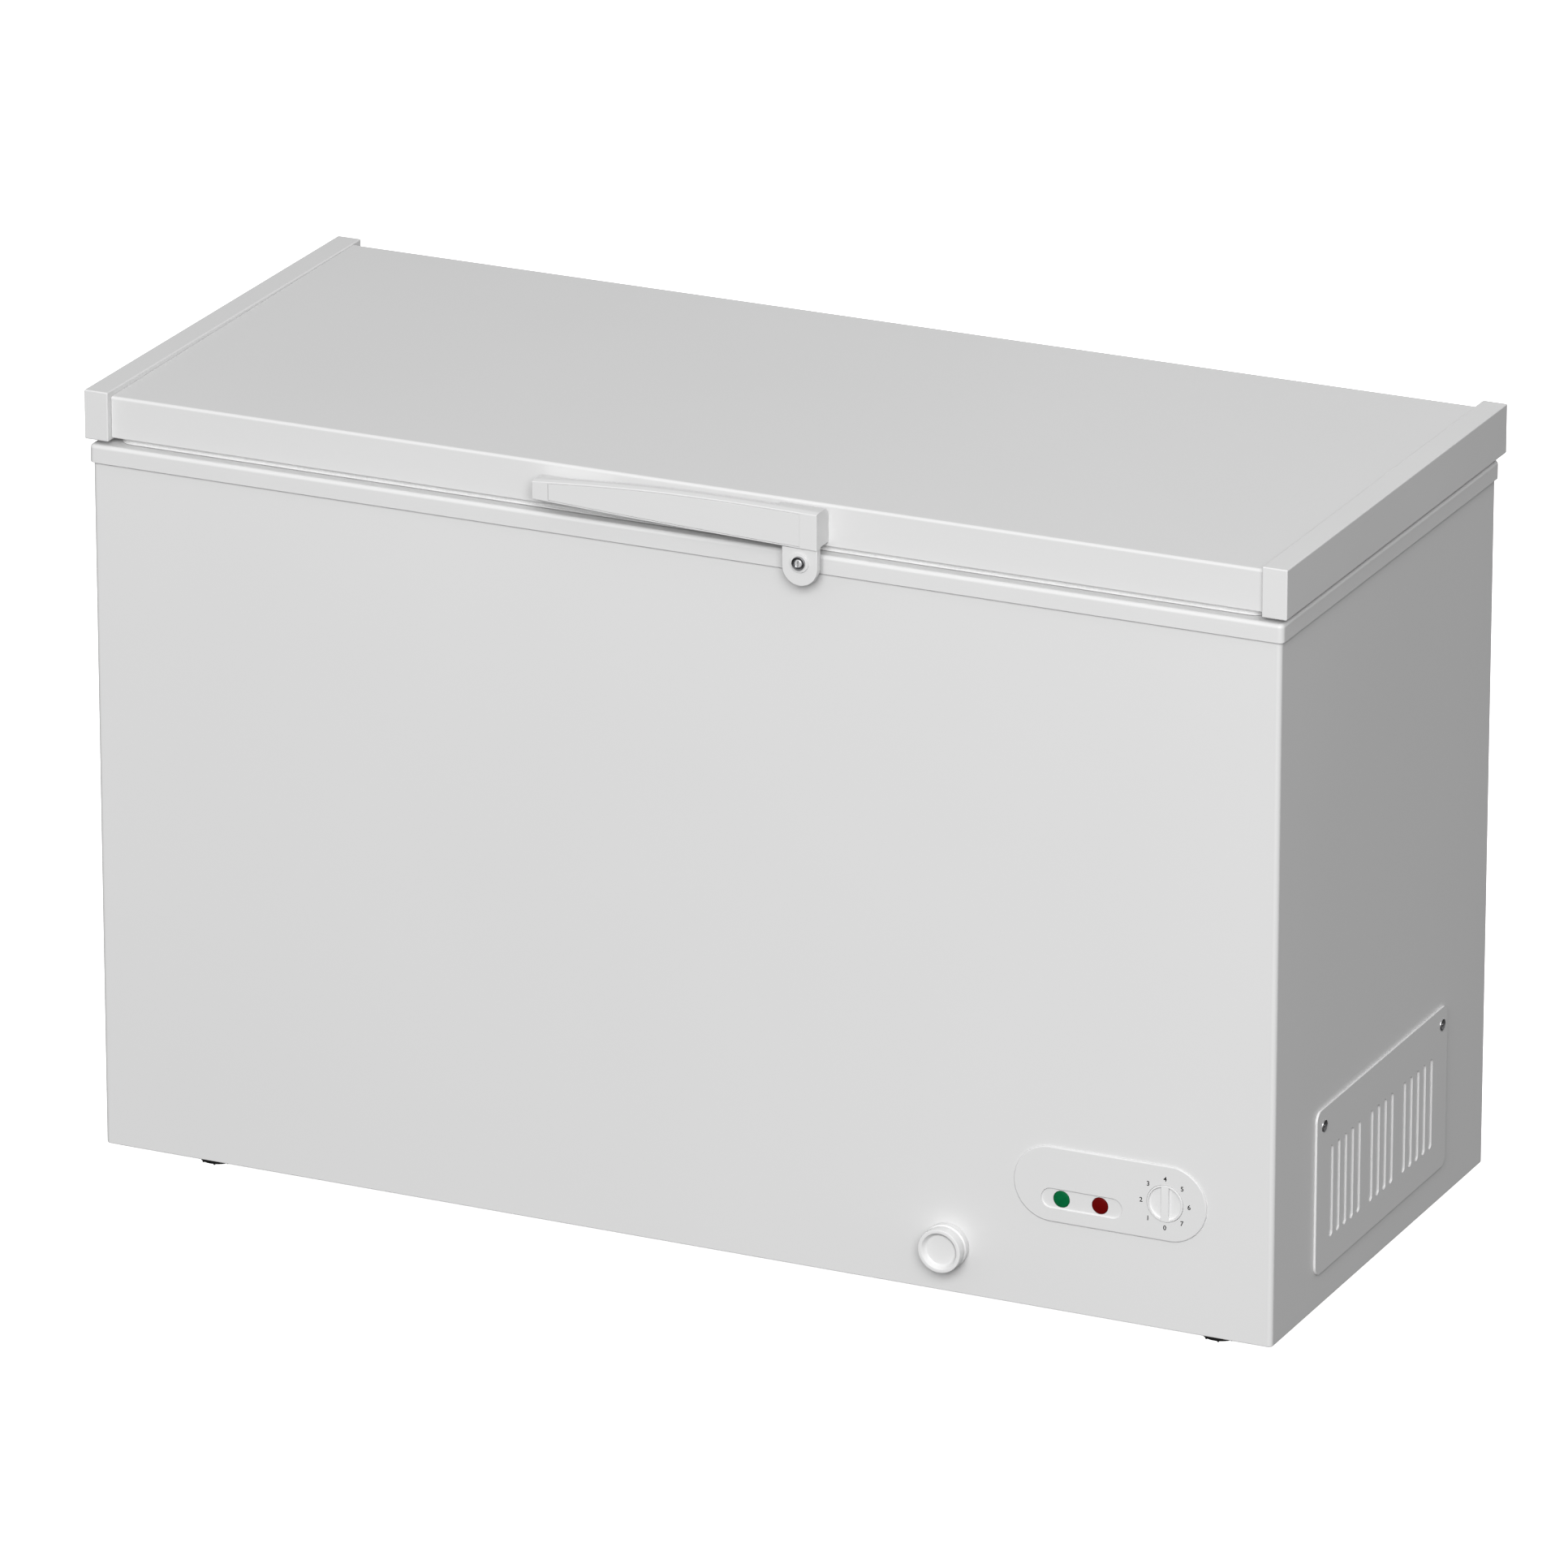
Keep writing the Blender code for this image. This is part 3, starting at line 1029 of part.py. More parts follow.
def make_handle():
    back_y = HANDLE_FRONT_Y + BAR_THICKNESS
    mount_y = SKIN_FRONT_Y - GAP
    bar = outline_solid("handle_body", [handle_outline(0, HANDLE_LEFT_X, HANDLE_RIGHT_X, 14)], BAR_THICKNESS,
                        (0, (HANDLE_FRONT_Y + back_y) / 2, 0), FRONT_FACING, WHITE_PLASTIC)
    top_edge, bottom_edge = bezier(HANDLE_TOP, 14), bezier(HANDLE_BOTTOM, 14)
    blocks = (("left", HANDLE_LEFT_X, BLOCK_LEFT_INNER_X), ("right", BLOCK_RIGHT_INNER_X, HANDLE_RIGHT_X))
    for side, left, right in blocks:
        high = min(height_at(top_edge, left), height_at(top_edge, right)) - 0.0004
        low = max(height_at(bottom_edge, left), height_at(bottom_edge, right)) + 0.0004
        chamfer_y, chamfer_z = 0.007, 0.008
        profile = [(back_y - 0.002, low), (mount_y, low), (mount_y, high - chamfer_z),
                   (mount_y - chamfer_y, high), (back_y - 0.002, high)]
        block = outline_solid(f"join_handle_block_{side}", [profile], right - left - 0.0004,
                              ((left + right) / 2, 0, 0), SIDE_FACING, None)
        join(bar, block)
    recess = outline_solid("cut_fascia_recess",
                           [handle_outline(FASCIA_EDGE - GAP, FASCIA_LEFT_X - GAP, FASCIA_RIGHT_X + GAP, 14)],
                           2 * (FASCIA_DEPTH + GAP), (0, HANDLE_FRONT_Y, 0), FRONT_FACING, None)
    cut(bar, recess)
    smooth(bar, 30)
    outline_solid("handle_fascia", [handle_outline(FASCIA_EDGE, FASCIA_LEFT_X, FASCIA_RIGHT_X, 14)],
                  FASCIA_DEPTH, (0, HANDLE_FRONT_Y + FASCIA_DEPTH / 2, 0), FRONT_FACING, WHITE_PLASTIC)


def make_lock():
    r = LOCK_TAB_RADIUS
    outline = [(LOCK_X + r, LOCK_TAB_TOP_Z), (LOCK_X - r, LOCK_TAB_TOP_Z)]
    outline += arc(LOCK_X, LOCK_TAB_ARC_Z, r, 180, 360, 12)
    thickness = LOCK_TAB_BACK_Y - LOCK_TAB_FRONT_Y
    tab = outline_solid("lock_housing", [outline], thickness, (0, LOCK_TAB_FRONT_Y + thickness / 2, 0),
                        FRONT_FACING, WHITE_PLASTIC)
    boss = cylinder("join_lock_boss", LOCK_BOSS_RADIUS, thickness / 2 + LOCK_BOSS_HEIGHT,
                    (LOCK_X, LOCK_TAB_FRONT_Y - LOCK_BOSS_HEIGHT / 2 + thickness / 4, LOCK_Z),
                    FRONT_FACING, None, 24)
    join(tab, boss)
    cut(tab, cylinder("cut_lock_bore", LOCK_BORE_RADIUS, 0.05, (LOCK_X, LOCK_TAB_FRONT_Y, LOCK_Z),
                      FRONT_FACING, None, 24))
    smooth(tab, 30)
    front, rear = -LOCK_FRONT_Y, -LOCK_REAR_Y
    profile = [(0, front - 0.0010), (0.0042, front - 0.0010), (0.0042, front - 0.0022),
               (0.0052, front - 0.0022), (0.0056, front - 0.0004), (0.0060, front), (0.0066, front),
               (LOCK_RADIUS, front - 0.0004), (LOCK_RADIUS, rear), (0, rear)]
    lock = turned("lock_cylinder", profile, CHROME, (LOCK_X, 0, LOCK_Z), FRONT_FACING, steps=24)
    key = box("cut_keyway", (LOCK_X - 0.0006, LOCK_FRONT_Y - 0.001, LOCK_Z - 0.0030),
              (LOCK_X + 0.0006, LOCK_FRONT_Y + 0.006, LOCK_Z + 0.0030), None)
    cut(lock, key)
    cam_y = LOCK_REAR_Y + GAP
    cam_outline = arc(LOCK_X, LOCK_Z, CAM_WIDTH / 2, 0, 180, 6)
    cam_outline += [(LOCK_X - CAM_WIDTH / 2, LOCK_Z - CAM_LENGTH + 0.001), (LOCK_X, LOCK_Z - CAM_LENGTH),
                    (LOCK_X + CAM_WIDTH / 2, LOCK_Z - CAM_LENGTH + 0.001)]
    outline_solid("lock_cam", [cam_outline], 0.002, (0, cam_y + 0.001, 0), FRONT_FACING, STEEL)
    face = -HALF_D - COLLAR_OVERHANG - GAP
    lip_low = LOCK_Z + CAM_WIDTH / 2 + 0.0005
    lip_high = lip_low + STRIKE_THICKNESS
    plate_y = face - STRIKE_THICKNESS
    strike = [(face, STRIKE_BOTTOM_Z), (face, lip_high), (face - STRIKE_REACH, lip_high),
              (face - STRIKE_REACH, lip_low), (plate_y, lip_low), (plate_y, STRIKE_BOTTOM_Z)]
    outline_solid("lock_strike", [strike], STRIKE_WIDTH, (STRIKE_X, 0, 0), SIDE_FACING, STEEL)


# ---------------------------------------------------------------- basket

def make_basket():
    """A grid of wires drawn up into walls that spread as they rise, with a hook over the collar each side."""
    (x0, x1), (z0, z1) = BASKET_X, BASKET_Z
    columns, rows, levels = 3, 5, 2
    hook_z = COLLAR_TOP_Z + GAP + BASKET_WIRE / 2
    mesh = bpy.data.meshes.new("wire_basket")
    bm = bmesh.new()
    bmesh.ops.create_grid(bm, x_segments=columns, y_segments=rows, size=0.5)
    taper = BASKET_TAPER
    size = (x1 - x0 - 2 * taper, 2 * (BASKET_HALF_Y - taper), 1)
    bmesh.ops.scale(bm, vec=size, verts=bm.verts)
    height = z1 - z0
    half_x, half_y = (x1 - x0) / 2, BASKET_HALF_Y
    rim = [e for e in bm.edges if e.is_boundary]
    for level in range(levels):
        run = bmesh.ops.extrude_edge_only(bm, edges=rim)["geom"]
        verts = [g for g in run if isinstance(g, bmesh.types.BMVert)]
        rim = [g for g in run if isinstance(g, bmesh.types.BMEdge) and g.is_boundary]
        bmesh.ops.translate(bm, vec=(0, 0, height / levels), verts=verts)
        below, above = (taper * (1 - n / levels) for n in (level, level + 1))
        bmesh.ops.scale(bm, vec=((half_x - above) / (half_x - below), (half_y - above) / (half_y - below), 1),
                        verts=verts)
    hooks = [e for e in rim if abs(e.verts[0].co.y) > half_y - 0.001 and abs(e.verts[1].co.y) > half_y - 0.001
             and abs((e.verts[0].co.x + e.verts[1].co.x) / 2) < 0.01]
    for lift, out in ((hook_z - z1, 0.0), (0.0, BASKET_HOOK_Y - half_y)):
        run = bmesh.ops.extrude_edge_only(bm, edges=hooks)["geom"]
        verts = [g for g in run if isinstance(g, bmesh.types.BMVert)]
        hooks = [g for g in run if isinstance(g, bmesh.types.BMEdge)
                 and all(v in verts for v in g.verts)]
        for vert in verts:
            vert.co.z += lift
            vert.co.y += math.copysign(out, vert.co.y)
    bmesh.ops.recalc_face_normals(bm, faces=bm.faces)
    bm.to_mesh(mesh)
    bm.free()
    basket = place("wire_basket", mesh, WIRE_COATING, ((x0 + x1) / 2, 0, z0))
    frame = basket.modifiers.new("wires", 'WIREFRAME')
    frame.thickness = BASKET_WIRE
    frame.use_boundary = True
    frame.use_replace = True
    frame.use_even_offset = False
    frame.offset = 0


make_wrapper()
make_rear_and_base()
make_partition()
make_foam()
make_liner()
make_collar()
coil_end_z = make_evaporator()
make_condenser()
make_compressor()
make_tubes(coil_end_z)
make_controls()
make_drain()
make_vent()
make_gland()
make_feet()
make_lid_skin()
make_lid_caps()
make_lid_inner()
make_lid_foam()
make_gasket()
for hinge_side, hinge_x in (("left", -HINGE_X), ("right", HINGE_X)):
    make_hinge(hinge_side, hinge_x)
make_handle()
make_lock()
make_basket()
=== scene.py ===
import json
import math

import bmesh
import bpy
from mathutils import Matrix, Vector


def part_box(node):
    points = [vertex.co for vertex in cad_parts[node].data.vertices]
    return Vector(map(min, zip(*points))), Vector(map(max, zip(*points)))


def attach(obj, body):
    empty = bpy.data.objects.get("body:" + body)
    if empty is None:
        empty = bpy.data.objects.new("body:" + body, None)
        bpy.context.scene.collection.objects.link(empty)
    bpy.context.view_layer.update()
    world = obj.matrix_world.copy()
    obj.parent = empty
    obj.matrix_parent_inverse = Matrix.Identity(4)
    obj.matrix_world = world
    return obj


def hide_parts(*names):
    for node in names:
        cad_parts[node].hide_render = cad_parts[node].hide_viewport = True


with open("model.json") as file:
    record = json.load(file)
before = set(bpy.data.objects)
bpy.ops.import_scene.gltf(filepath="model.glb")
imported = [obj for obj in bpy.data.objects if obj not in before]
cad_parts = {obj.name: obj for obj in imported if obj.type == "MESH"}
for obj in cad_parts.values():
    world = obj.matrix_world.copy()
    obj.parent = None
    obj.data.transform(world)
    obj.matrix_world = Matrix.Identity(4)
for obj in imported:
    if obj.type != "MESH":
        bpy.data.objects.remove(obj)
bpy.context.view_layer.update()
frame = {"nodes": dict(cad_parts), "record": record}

# Sizes shared by several pieces, in metres
STEEL = 0.001
WELD_DISTANCE = 0.000002
CABINET_LOW, CABINET_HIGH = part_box("outer_wrapper")
FASCIA_LOW, FASCIA_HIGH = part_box("control_fascia")
SKIN_LOW, SKIN_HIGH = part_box("lid_skin")
KNOB_LOW, KNOB_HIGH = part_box("thermostat_knob")
DRAIN_LOW, DRAIN_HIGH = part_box("drain_cap")
LOCK_LOW, LOCK_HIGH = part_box("lock_cylinder")
VENT_LOW, VENT_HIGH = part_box("vent_panel")

FRONT_FACING = (math.radians(90), 0, 0)
SIDE_FACING = (math.radians(90), 0, math.radians(90))
AXIS_ALONG_X = (0, math.radians(90), 0)


def middle(low, high):
    return (low + high) / 2


# ---------------------------------------------------------------- materials

def mixed(tree, factor, low, high):
    """A colour between two colours, by a factor socket."""
    mix = tree.nodes.new("ShaderNodeMix")
    mix.data_type = 'RGBA'
    mix.inputs["A"].default_value = (*low, 1)
    mix.inputs["B"].default_value = (*high, 1)
    tree.links.new(factor, mix.inputs["Factor"])
    return mix.outputs["Result"]


def ranged(tree, value, low, high):
    """A noise value spread from its usual 0.3 to 0.7 over a new range."""
    node = tree.nodes.new("ShaderNodeMapRange")
    node.inputs["From Min"].default_value = 0.3
    node.inputs["From Max"].default_value = 0.7
    node.inputs["To Min"].default_value = low
    node.inputs["To Max"].default_value = high
    tree.links.new(value, node.inputs["Value"])
    return node.outputs["Result"]


def noise(tree, scale, detail=3.0, stretch=(1, 1, 1)):
    coordinates = tree.nodes.new("ShaderNodeTexCoord")
    mapping = tree.nodes.new("ShaderNodeMapping")
    mapping.inputs["Scale"].default_value = stretch
    texture = tree.nodes.new("ShaderNodeTexNoise")
    texture.inputs["Scale"].default_value = scale
    texture.inputs["Detail"].default_value = detail
    tree.links.new(coordinates.outputs["Object"], mapping.inputs["Vector"])
    tree.links.new(mapping.outputs["Vector"], texture.inputs["Vector"])
    return texture.outputs["Fac"]


def add_bump(tree, shader, height, distance, strength=1.0, under=None):
    bump = tree.nodes.new("ShaderNodeBump")
    bump.inputs["Strength"].default_value = strength
    bump.inputs["Distance"].default_value = distance
    tree.links.new(height, bump.inputs["Height"])
    if under is not None:
        tree.links.new(under, bump.inputs["Normal"])
    tree.links.new(bump.outputs["Normal"], shader.inputs["Normal"])
    return bump.outputs["Normal"]


def finish(name, colour, roughness, metallic=0.0, variation=0.02, patch=6.0, grain=900.0, depth=0.00002,
           roughness_spread=0.05, stretch=(1, 1, 1), specular=0.5):
    """A surface with slow colour patches, uneven gloss and a fine grain. Scales are in cells per metre."""
    mat = bpy.data.materials.new(name)
    mat.use_nodes = True
    tree = mat.node_tree
    shader = tree.nodes["Principled BSDF"]
    shader.inputs["Metallic"].default_value = metallic
    shader.inputs["Specular IOR Level"].default_value = specular
    patches = noise(tree, patch, 4.0)
    dark = tuple(c * (1 - variation) for c in colour)
    light = tuple(min(1.0, c * (1 + variation)) for c in colour)
    tree.links.new(mixed(tree, ranged(tree, patches, 0, 1), dark, light), shader.inputs["Base Color"])
    fine = noise(tree, grain, 2.0, stretch)
    spread = ranged(tree, fine, roughness - roughness_spread, roughness + roughness_spread)
    tree.links.new(spread, shader.inputs["Roughness"])
    add_bump(tree, shader, fine, depth)
    mat.diffuse_color = (*colour, 1)
    return mat


def enamel(name, colour):
    """Baked enamel on sheet steel: orange peel over the sheet's own faint waviness."""
    mat = finish(name, colour, 0.42, variation=0.008, patch=2.5, grain=700, depth=0.000015)
    tree = mat.node_tree
    shader = tree.nodes["Principled BSDF"]
    peel = shader.inputs["Normal"].links[0].from_socket
    add_bump(tree, shader, noise(tree, 3.0, 1.0), 0.0004, under=peel)
    return mat


def lens_plastic(name, colour):
    """Deeply tinted plastic with a faintly ribbed face."""
    return finish(name, colour, 0.45, variation=0.10, patch=220, grain=1500, depth=0.00001,
                  roughness_spread=0.03, specular=0.08)


def galvanised(name):
    """Zinc spangle: flat crystals of slightly different grey."""
    mat = finish(name, (0.52, 0.53, 0.54), 0.42, metallic=0.9, variation=0.05, patch=10, grain=400)
    tree = mat.node_tree
    shader = tree.nodes["Principled BSDF"]
    coordinates = tree.nodes.new("ShaderNodeTexCoord")
    crystals = tree.nodes.new("ShaderNodeTexVoronoi")
    crystals.inputs["Scale"].default_value = 90.0
    tree.links.new(coordinates.outputs["Object"], crystals.inputs["Vector"])
    colour = mixed(tree, crystals.outputs["Color"], (0.44, 0.45, 0.46), (0.60, 0.61, 0.62))
    tree.links.new(colour, shader.inputs["Base Color"])
    return mat


def embossed(name, colour):
    """Stucco-embossed liner sheet."""
    mat = finish(name, colour, 0.38, variation=0.02, patch=4, grain=600)
    tree = mat.node_tree
    shader = tree.nodes["Principled BSDF"]
    coordinates = tree.nodes.new("ShaderNodeTexCoord")
    cells = tree.nodes.new("ShaderNodeTexVoronoi")
    cells.feature = 'SMOOTH_F1'
    cells.inputs["Scale"].default_value = 240.0
    tree.links.new(coordinates.outputs["Object"], cells.inputs["Vector"])
    add_bump(tree, shader, cells.outputs["Distance"], 0.0006, 0.5)
    return mat


WHITE = (0.62, 0.62, 0.62)
STEEL_WHITE = enamel("enamelled_steel", WHITE)
PLASTIC_WHITE = finish("moulded_white_plastic", WHITE, 0.45, variation=0.01, grain=1400, depth=0.00001)
KNOB_WHITE = finish("knob_plastic", (0.66, 0.66, 0.66), 0.38, variation=0.01, grain=1400, depth=0.00001)
LINER_WHITE = embossed("liner_sheet", (0.70, 0.71, 0.72))
ZINC = finish("zinc_plate", (0.58, 0.58, 0.59), 0.34, metallic=1.0, variation=0.06, patch=60, grain=2400,
              roughness_spread=0.10)
DARK_SCREW = finish("blackened_screw", (0.15, 0.15, 0.155), 0.24, metallic=0.6, variation=0.15, patch=300,
                    grain=2600, depth=0.000008)
GALVANISED = galvanised("galvanised_sheet")
FOAM = finish("polyurethane_foam", (0.72, 0.63, 0.38), 0.95, variation=0.15, patch=30, grain=500,
              depth=0.0006)
COPPER = finish("drawn_copper", (0.70, 0.36, 0.22), 0.32, metallic=1.0, variation=0.18, patch=20, grain=900,
                roughness_spread=0.12)
ALUMINIUM = finish("aluminium_tube", (0.72, 0.73, 0.74), 0.38, metallic=1.0, variation=0.06, patch=30)
BLACK_ENAMEL = finish("black_enamel", (0.018, 0.018, 0.018), 0.35, variation=0.3, patch=15, grain=600)
BLACK_PLASTIC = finish("black_plastic", (0.010, 0.010, 0.010), 0.55, variation=0.3, patch=80, grain=1200,
                       depth=0.00006)
RUBBER = finish("rubber", (0.020, 0.020, 0.020), 0.80, variation=0.25, patch=60, grain=1500, depth=0.0001)
VINYL = finish("gasket_vinyl", (0.66, 0.66, 0.66), 0.55, variation=0.03, patch=20, grain=1000, depth=0.00004)
GREEN = lens_plastic("green_lens", (0.001, 0.105, 0.032))
RED = lens_plastic("red_lens", (0.105, 0.001, 0.001))
# Chrome darker than real chrome: painted dark reflection, standing in for dark surroundings that the pale
# studio does not have
PAINTED_DARK_CHROME = finish("chrome_plate_painted_dark", (0.34, 0.34, 0.35), 0.14, metallic=1.0, variation=0.05, patch=200, grain=3000,
                depth=0.000005)
KEYWAY = finish("lock_core", (0.62, 0.62, 0.63), 0.40, metallic=0.3, variation=0.10, patch=300, grain=3000)
WIRE = finish("coated_wire", (0.66, 0.66, 0.66), 0.42, variation=0.03, patch=40, grain=900)
INK = finish("printed_numbers", (0.004, 0.004, 0.004), 0.60, variation=0.2, patch=400, grain=2500)


# ---------------------------------------------------------------- modelling helpers

def put(obj, mat, body, nodes=()):
    """Gives a new piece its material, parents it to the body it rides on, and hides the CAD nodes that it
    stands for.
    """
    obj.data.materials.clear()
    obj.data.materials.append(mat)
    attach(obj, body)
    if nodes:
        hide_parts(*nodes)
    return obj


def linked(name, data, location=(0, 0, 0), rotation=(0, 0, 0)):
    obj = bpy.data.objects.new(name, data)
    bpy.context.scene.collection.objects.link(obj)
    obj.location = location
    obj.rotation_euler = rotation
    bpy.context.view_layer.update()
    return obj


def baked(obj):
    """The object with its modifiers or curve settings turned into one plain mesh in the row frame."""
    bpy.context.view_layer.update()
    graph = bpy.context.evaluated_depsgraph_get()
    mesh = bpy.data.meshes.new_from_object(obj.evaluated_get(graph))
    mesh.transform(obj.matrix_world)
    name = obj.name
    bpy.data.objects.remove(obj, do_unlink=True)
    return linked(name, mesh)


def weld(obj):
    bm = bmesh.new()
    bm.from_mesh(obj.data)
    bmesh.ops.remove_doubles(bm, verts=bm.verts, dist=WELD_DISTANCE)
    bmesh.ops.recalc_face_normals(bm, faces=bm.faces)
    bm.to_mesh(obj.data)
    bm.free()
    return obj


def carve(obj, *cutters, operation='DIFFERENCE'):
    """Applies Booleans and removes the cutters."""
    for cutter in cutters:
        mod = obj.modifiers.new("carve", 'BOOLEAN')
        mod.operation = operation
        mod.solver = 'EXACT'
        mod.object = cutter
    obj = baked(obj)
    for cutter in cutters:
        bpy.data.objects.remove(cutter, do_unlink=True)
    return obj


def bevelled(obj, name, width, segments, angle):
    """A live bevel on every edge sharper than an angle in degrees."""
    mod = obj.modifiers.new(name, 'BEVEL')
    mod.width = width
    mod.segments = segments
    mod.limit_method = 'ANGLE'
    mod.angle_limit = math.radians(angle)
    return mod


def round_edges(obj, width, segments, angle=40):
    bevelled(obj, "rounded_edges", width, segments, angle).harden_normals = True
    return smooth(obj)


def smooth(obj, angle=40):
    obj.data.shade_smooth()
    obj.data.set_sharp_from_angle(angle=math.radians(angle))
    weights = obj.modifiers.new("flat_faces_stay_flat", 'WEIGHTED_NORMAL')
    weights.keep_sharp = True
    return obj


def arc(cx, cy, radius, start, end, count):
    """Points along a circle, between two angles in degrees."""
    angles = [math.radians(start + (end - start) * i / count) for i in range(count + 1)]
    return [(cx + radius * math.cos(a), cy + radius * math.sin(a)) for a in angles]


def quarter(radius, height, width, rise, count):
    """A quarter ellipse in a turned profile: from straight above a centre, out to its own width."""
    angles = [math.radians(90 * i / count) for i in range(count + 1)]
    return [(radius + width * math.sin(a), height + rise * math.cos(a)) for a in angles]


def rounded_rectangle(half_x, half_y, radius, count=8, centre=(0, 0)):
    x, y = half_x - radius, half_y - radius
    points = []
    for cx, cy, start in ((x, y, 0), (-x, y, 90), (-x, -y, 180), (x, -y, 270)):
        points += arc(centre[0] + cx, centre[1] + cy, radius, start, start + 90, count)
    return points


def stadium(cx, cy, width, height, count=24):
    """An outline with two straight sides and two half-round ends, long along its longer side."""
    if width >= height:
        radius, run = height / 2, (width - height) / 2
        return arc(cx + run, cy, radius, -90, 90, count) + arc(cx - run, cy, radius, 90, 270, count)
    radius, run = width / 2, (height - width) / 2
    return arc(cx, cy + run, radius, 0, 180, count) + arc(cx, cy - run, radius, 180, 360, count)


def plate(name, loops, thickness, centre, rotation, edge=0.0):
    """A flat outline, with its holes as further loops, given thickness and rounded edges."""
    curve = bpy.data.curves.new(name, 'CURVE')
    curve.dimensions = '2D'
    curve.fill_mode = 'BOTH'
    curve.extrude = thickness / 2 - edge
    if edge:
        curve.bevel_depth = edge
        curve.bevel_resolution = 2
        curve.offset = -edge
    for loop in loops:
        spline = curve.splines.new('POLY')
        spline.points.add(len(loop) - 1)
        for point, (u, v) in zip(spline.points, loop):
            point.co = (u, v, 0, 1)
        spline.use_cyclic_u = True
    return weld(baked(linked(name, curve, centre, rotation)))


def turned(name, profile, location, rotation, steps=64, closed=False):
    """A profile of (radius, height) points turned about its own Z axis."""
    mesh = bpy.data.meshes.new(name)
    edges = [(i, i + 1) for i in range(len(profile) - 1)]
    if closed:
        edges.append((len(profile) - 1, 0))
    mesh.from_pydata([(r, 0, h) for r, h in profile], edges, [])
    obj = linked(name, mesh, location, rotation)
    screw = obj.modifiers.new("turn", 'SCREW')
    screw.steps = steps
    screw.render_steps = steps
    screw.use_merge_vertices = True
    screw.merge_threshold = 0.000005
    screw.use_smooth_shade = True
    return weld(baked(obj))


def hole(name, radius, up, down, location, rotation=FRONT_FACING, steps=64):
    """A round cutter that reaches up and down from its place along its own axis."""
    return turned(name, [(0, up), (radius, up), (radius, -down), (0, -down)], location, rotation, steps)


def sheet(name, path, length, thickness, centre=(0, 0, 0), rotation=(0, 0, 0)):
    """A bent sheet: an open path in its own XY plane, run along Z, then given thickness inwards."""
    mesh = bpy.data.meshes.new(name)
    bm = bmesh.new()
    verts = [bm.verts.new((u, v, -length / 2)) for u, v in path]
    edges = [bm.edges.new(pair) for pair in zip(verts, verts[1:])]
    run = bmesh.ops.extrude_edge_only(bm, edges=edges)
    top = [item for item in run["geom"] if isinstance(item, bmesh.types.BMVert)]
    bmesh.ops.translate(bm, vec=(0, 0, length), verts=top)
    bmesh.ops.recalc_face_normals(bm, faces=bm.faces)
    bm.to_mesh(mesh)
    bm.free()
    obj = linked(name, mesh, centre, rotation)
    solid = obj.modifiers.new("thickness", 'SOLIDIFY')
    solid.thickness = thickness
    solid.offset = -1
    solid.use_even_offset = True
    return weld(baked(obj))


def block(name, low, high):
    """A box between two corners."""
    low, high = Vector(low), Vector(high)
    mesh = bpy.data.meshes.new(name)
    bm = bmesh.new()
    bmesh.ops.create_cube(bm, size=1.0)
    bmesh.ops.scale(bm, vec=high - low, verts=bm.verts)
    bmesh.ops.translate(bm, vec=(low + high) / 2, verts=bm.verts)
    bm.to_mesh(mesh)
    bm.free()
    return linked(name, mesh)


def lofted(name, loops, closed=False, capped=False):
    """A surface through loops of equally many points, in turn, joined back round or capped if asked."""
    mesh = bpy.data.meshes.new(name)
    bm = bmesh.new()
    rings = [[bm.verts.new(point) for point in loop] for loop in loops]
    pairs = list(zip(rings, rings[1:]))
    if closed:
        pairs.append((rings[-1], rings[0]))
    for lower, upper in pairs:
        for i in range(len(lower)):
            j = (i + 1) % len(lower)
            bm.faces.new((lower[i], lower[j], upper[j], upper[i]))
    if capped:
        bm.faces.new(rings[0])
        bm.faces.new(rings[-1])
    bmesh.ops.recalc_face_normals(bm, faces=bm.faces)
    bm.to_mesh(mesh)
    bm.free()
    return linked(name, mesh)


def refined(node, mat, width):
    """The CAD node's own shape with its flat faces made whole and its edges rounded."""
    source = frame["nodes"][node]
    mesh = source.data.copy()
    bm = bmesh.new()
    bm.from_mesh(mesh)
    bmesh.ops.remove_doubles(bm, verts=bm.verts, dist=0.000005)
    bmesh.ops.dissolve_limit(bm, angle_limit=math.radians(1), verts=bm.verts, edges=bm.edges)
    bm.to_mesh(mesh)
    bm.free()
    piece = linked(node + "_piece", mesh)
    if width:
        bevelled(piece, "rounded_edges", width, 2, 35)
    smooth(piece, 50)
    return put(piece, mat, body_of(node), [node])


def body_of(node):
    """The name of the moving body that a CAD node belongs to."""
    for body, members in frame["record"]["behaviour"]["bodies"].items():
        if node in members:
            return body
    raise ValueError(node)


def bezier(points, count):
    """Points along a cubic curve with four control points."""
    result = []
    for i in range(count + 1):
        t = i / count
        weights = ((1 - t) ** 3, 3 * t * (1 - t) ** 2, 3 * t * t * (1 - t), t ** 3)
        result.append(tuple(sum(w * p[axis] for w, p in zip(weights, points)) for axis in (0, 1)))
    return result


# ---------------------------------------------------------------- cabinet

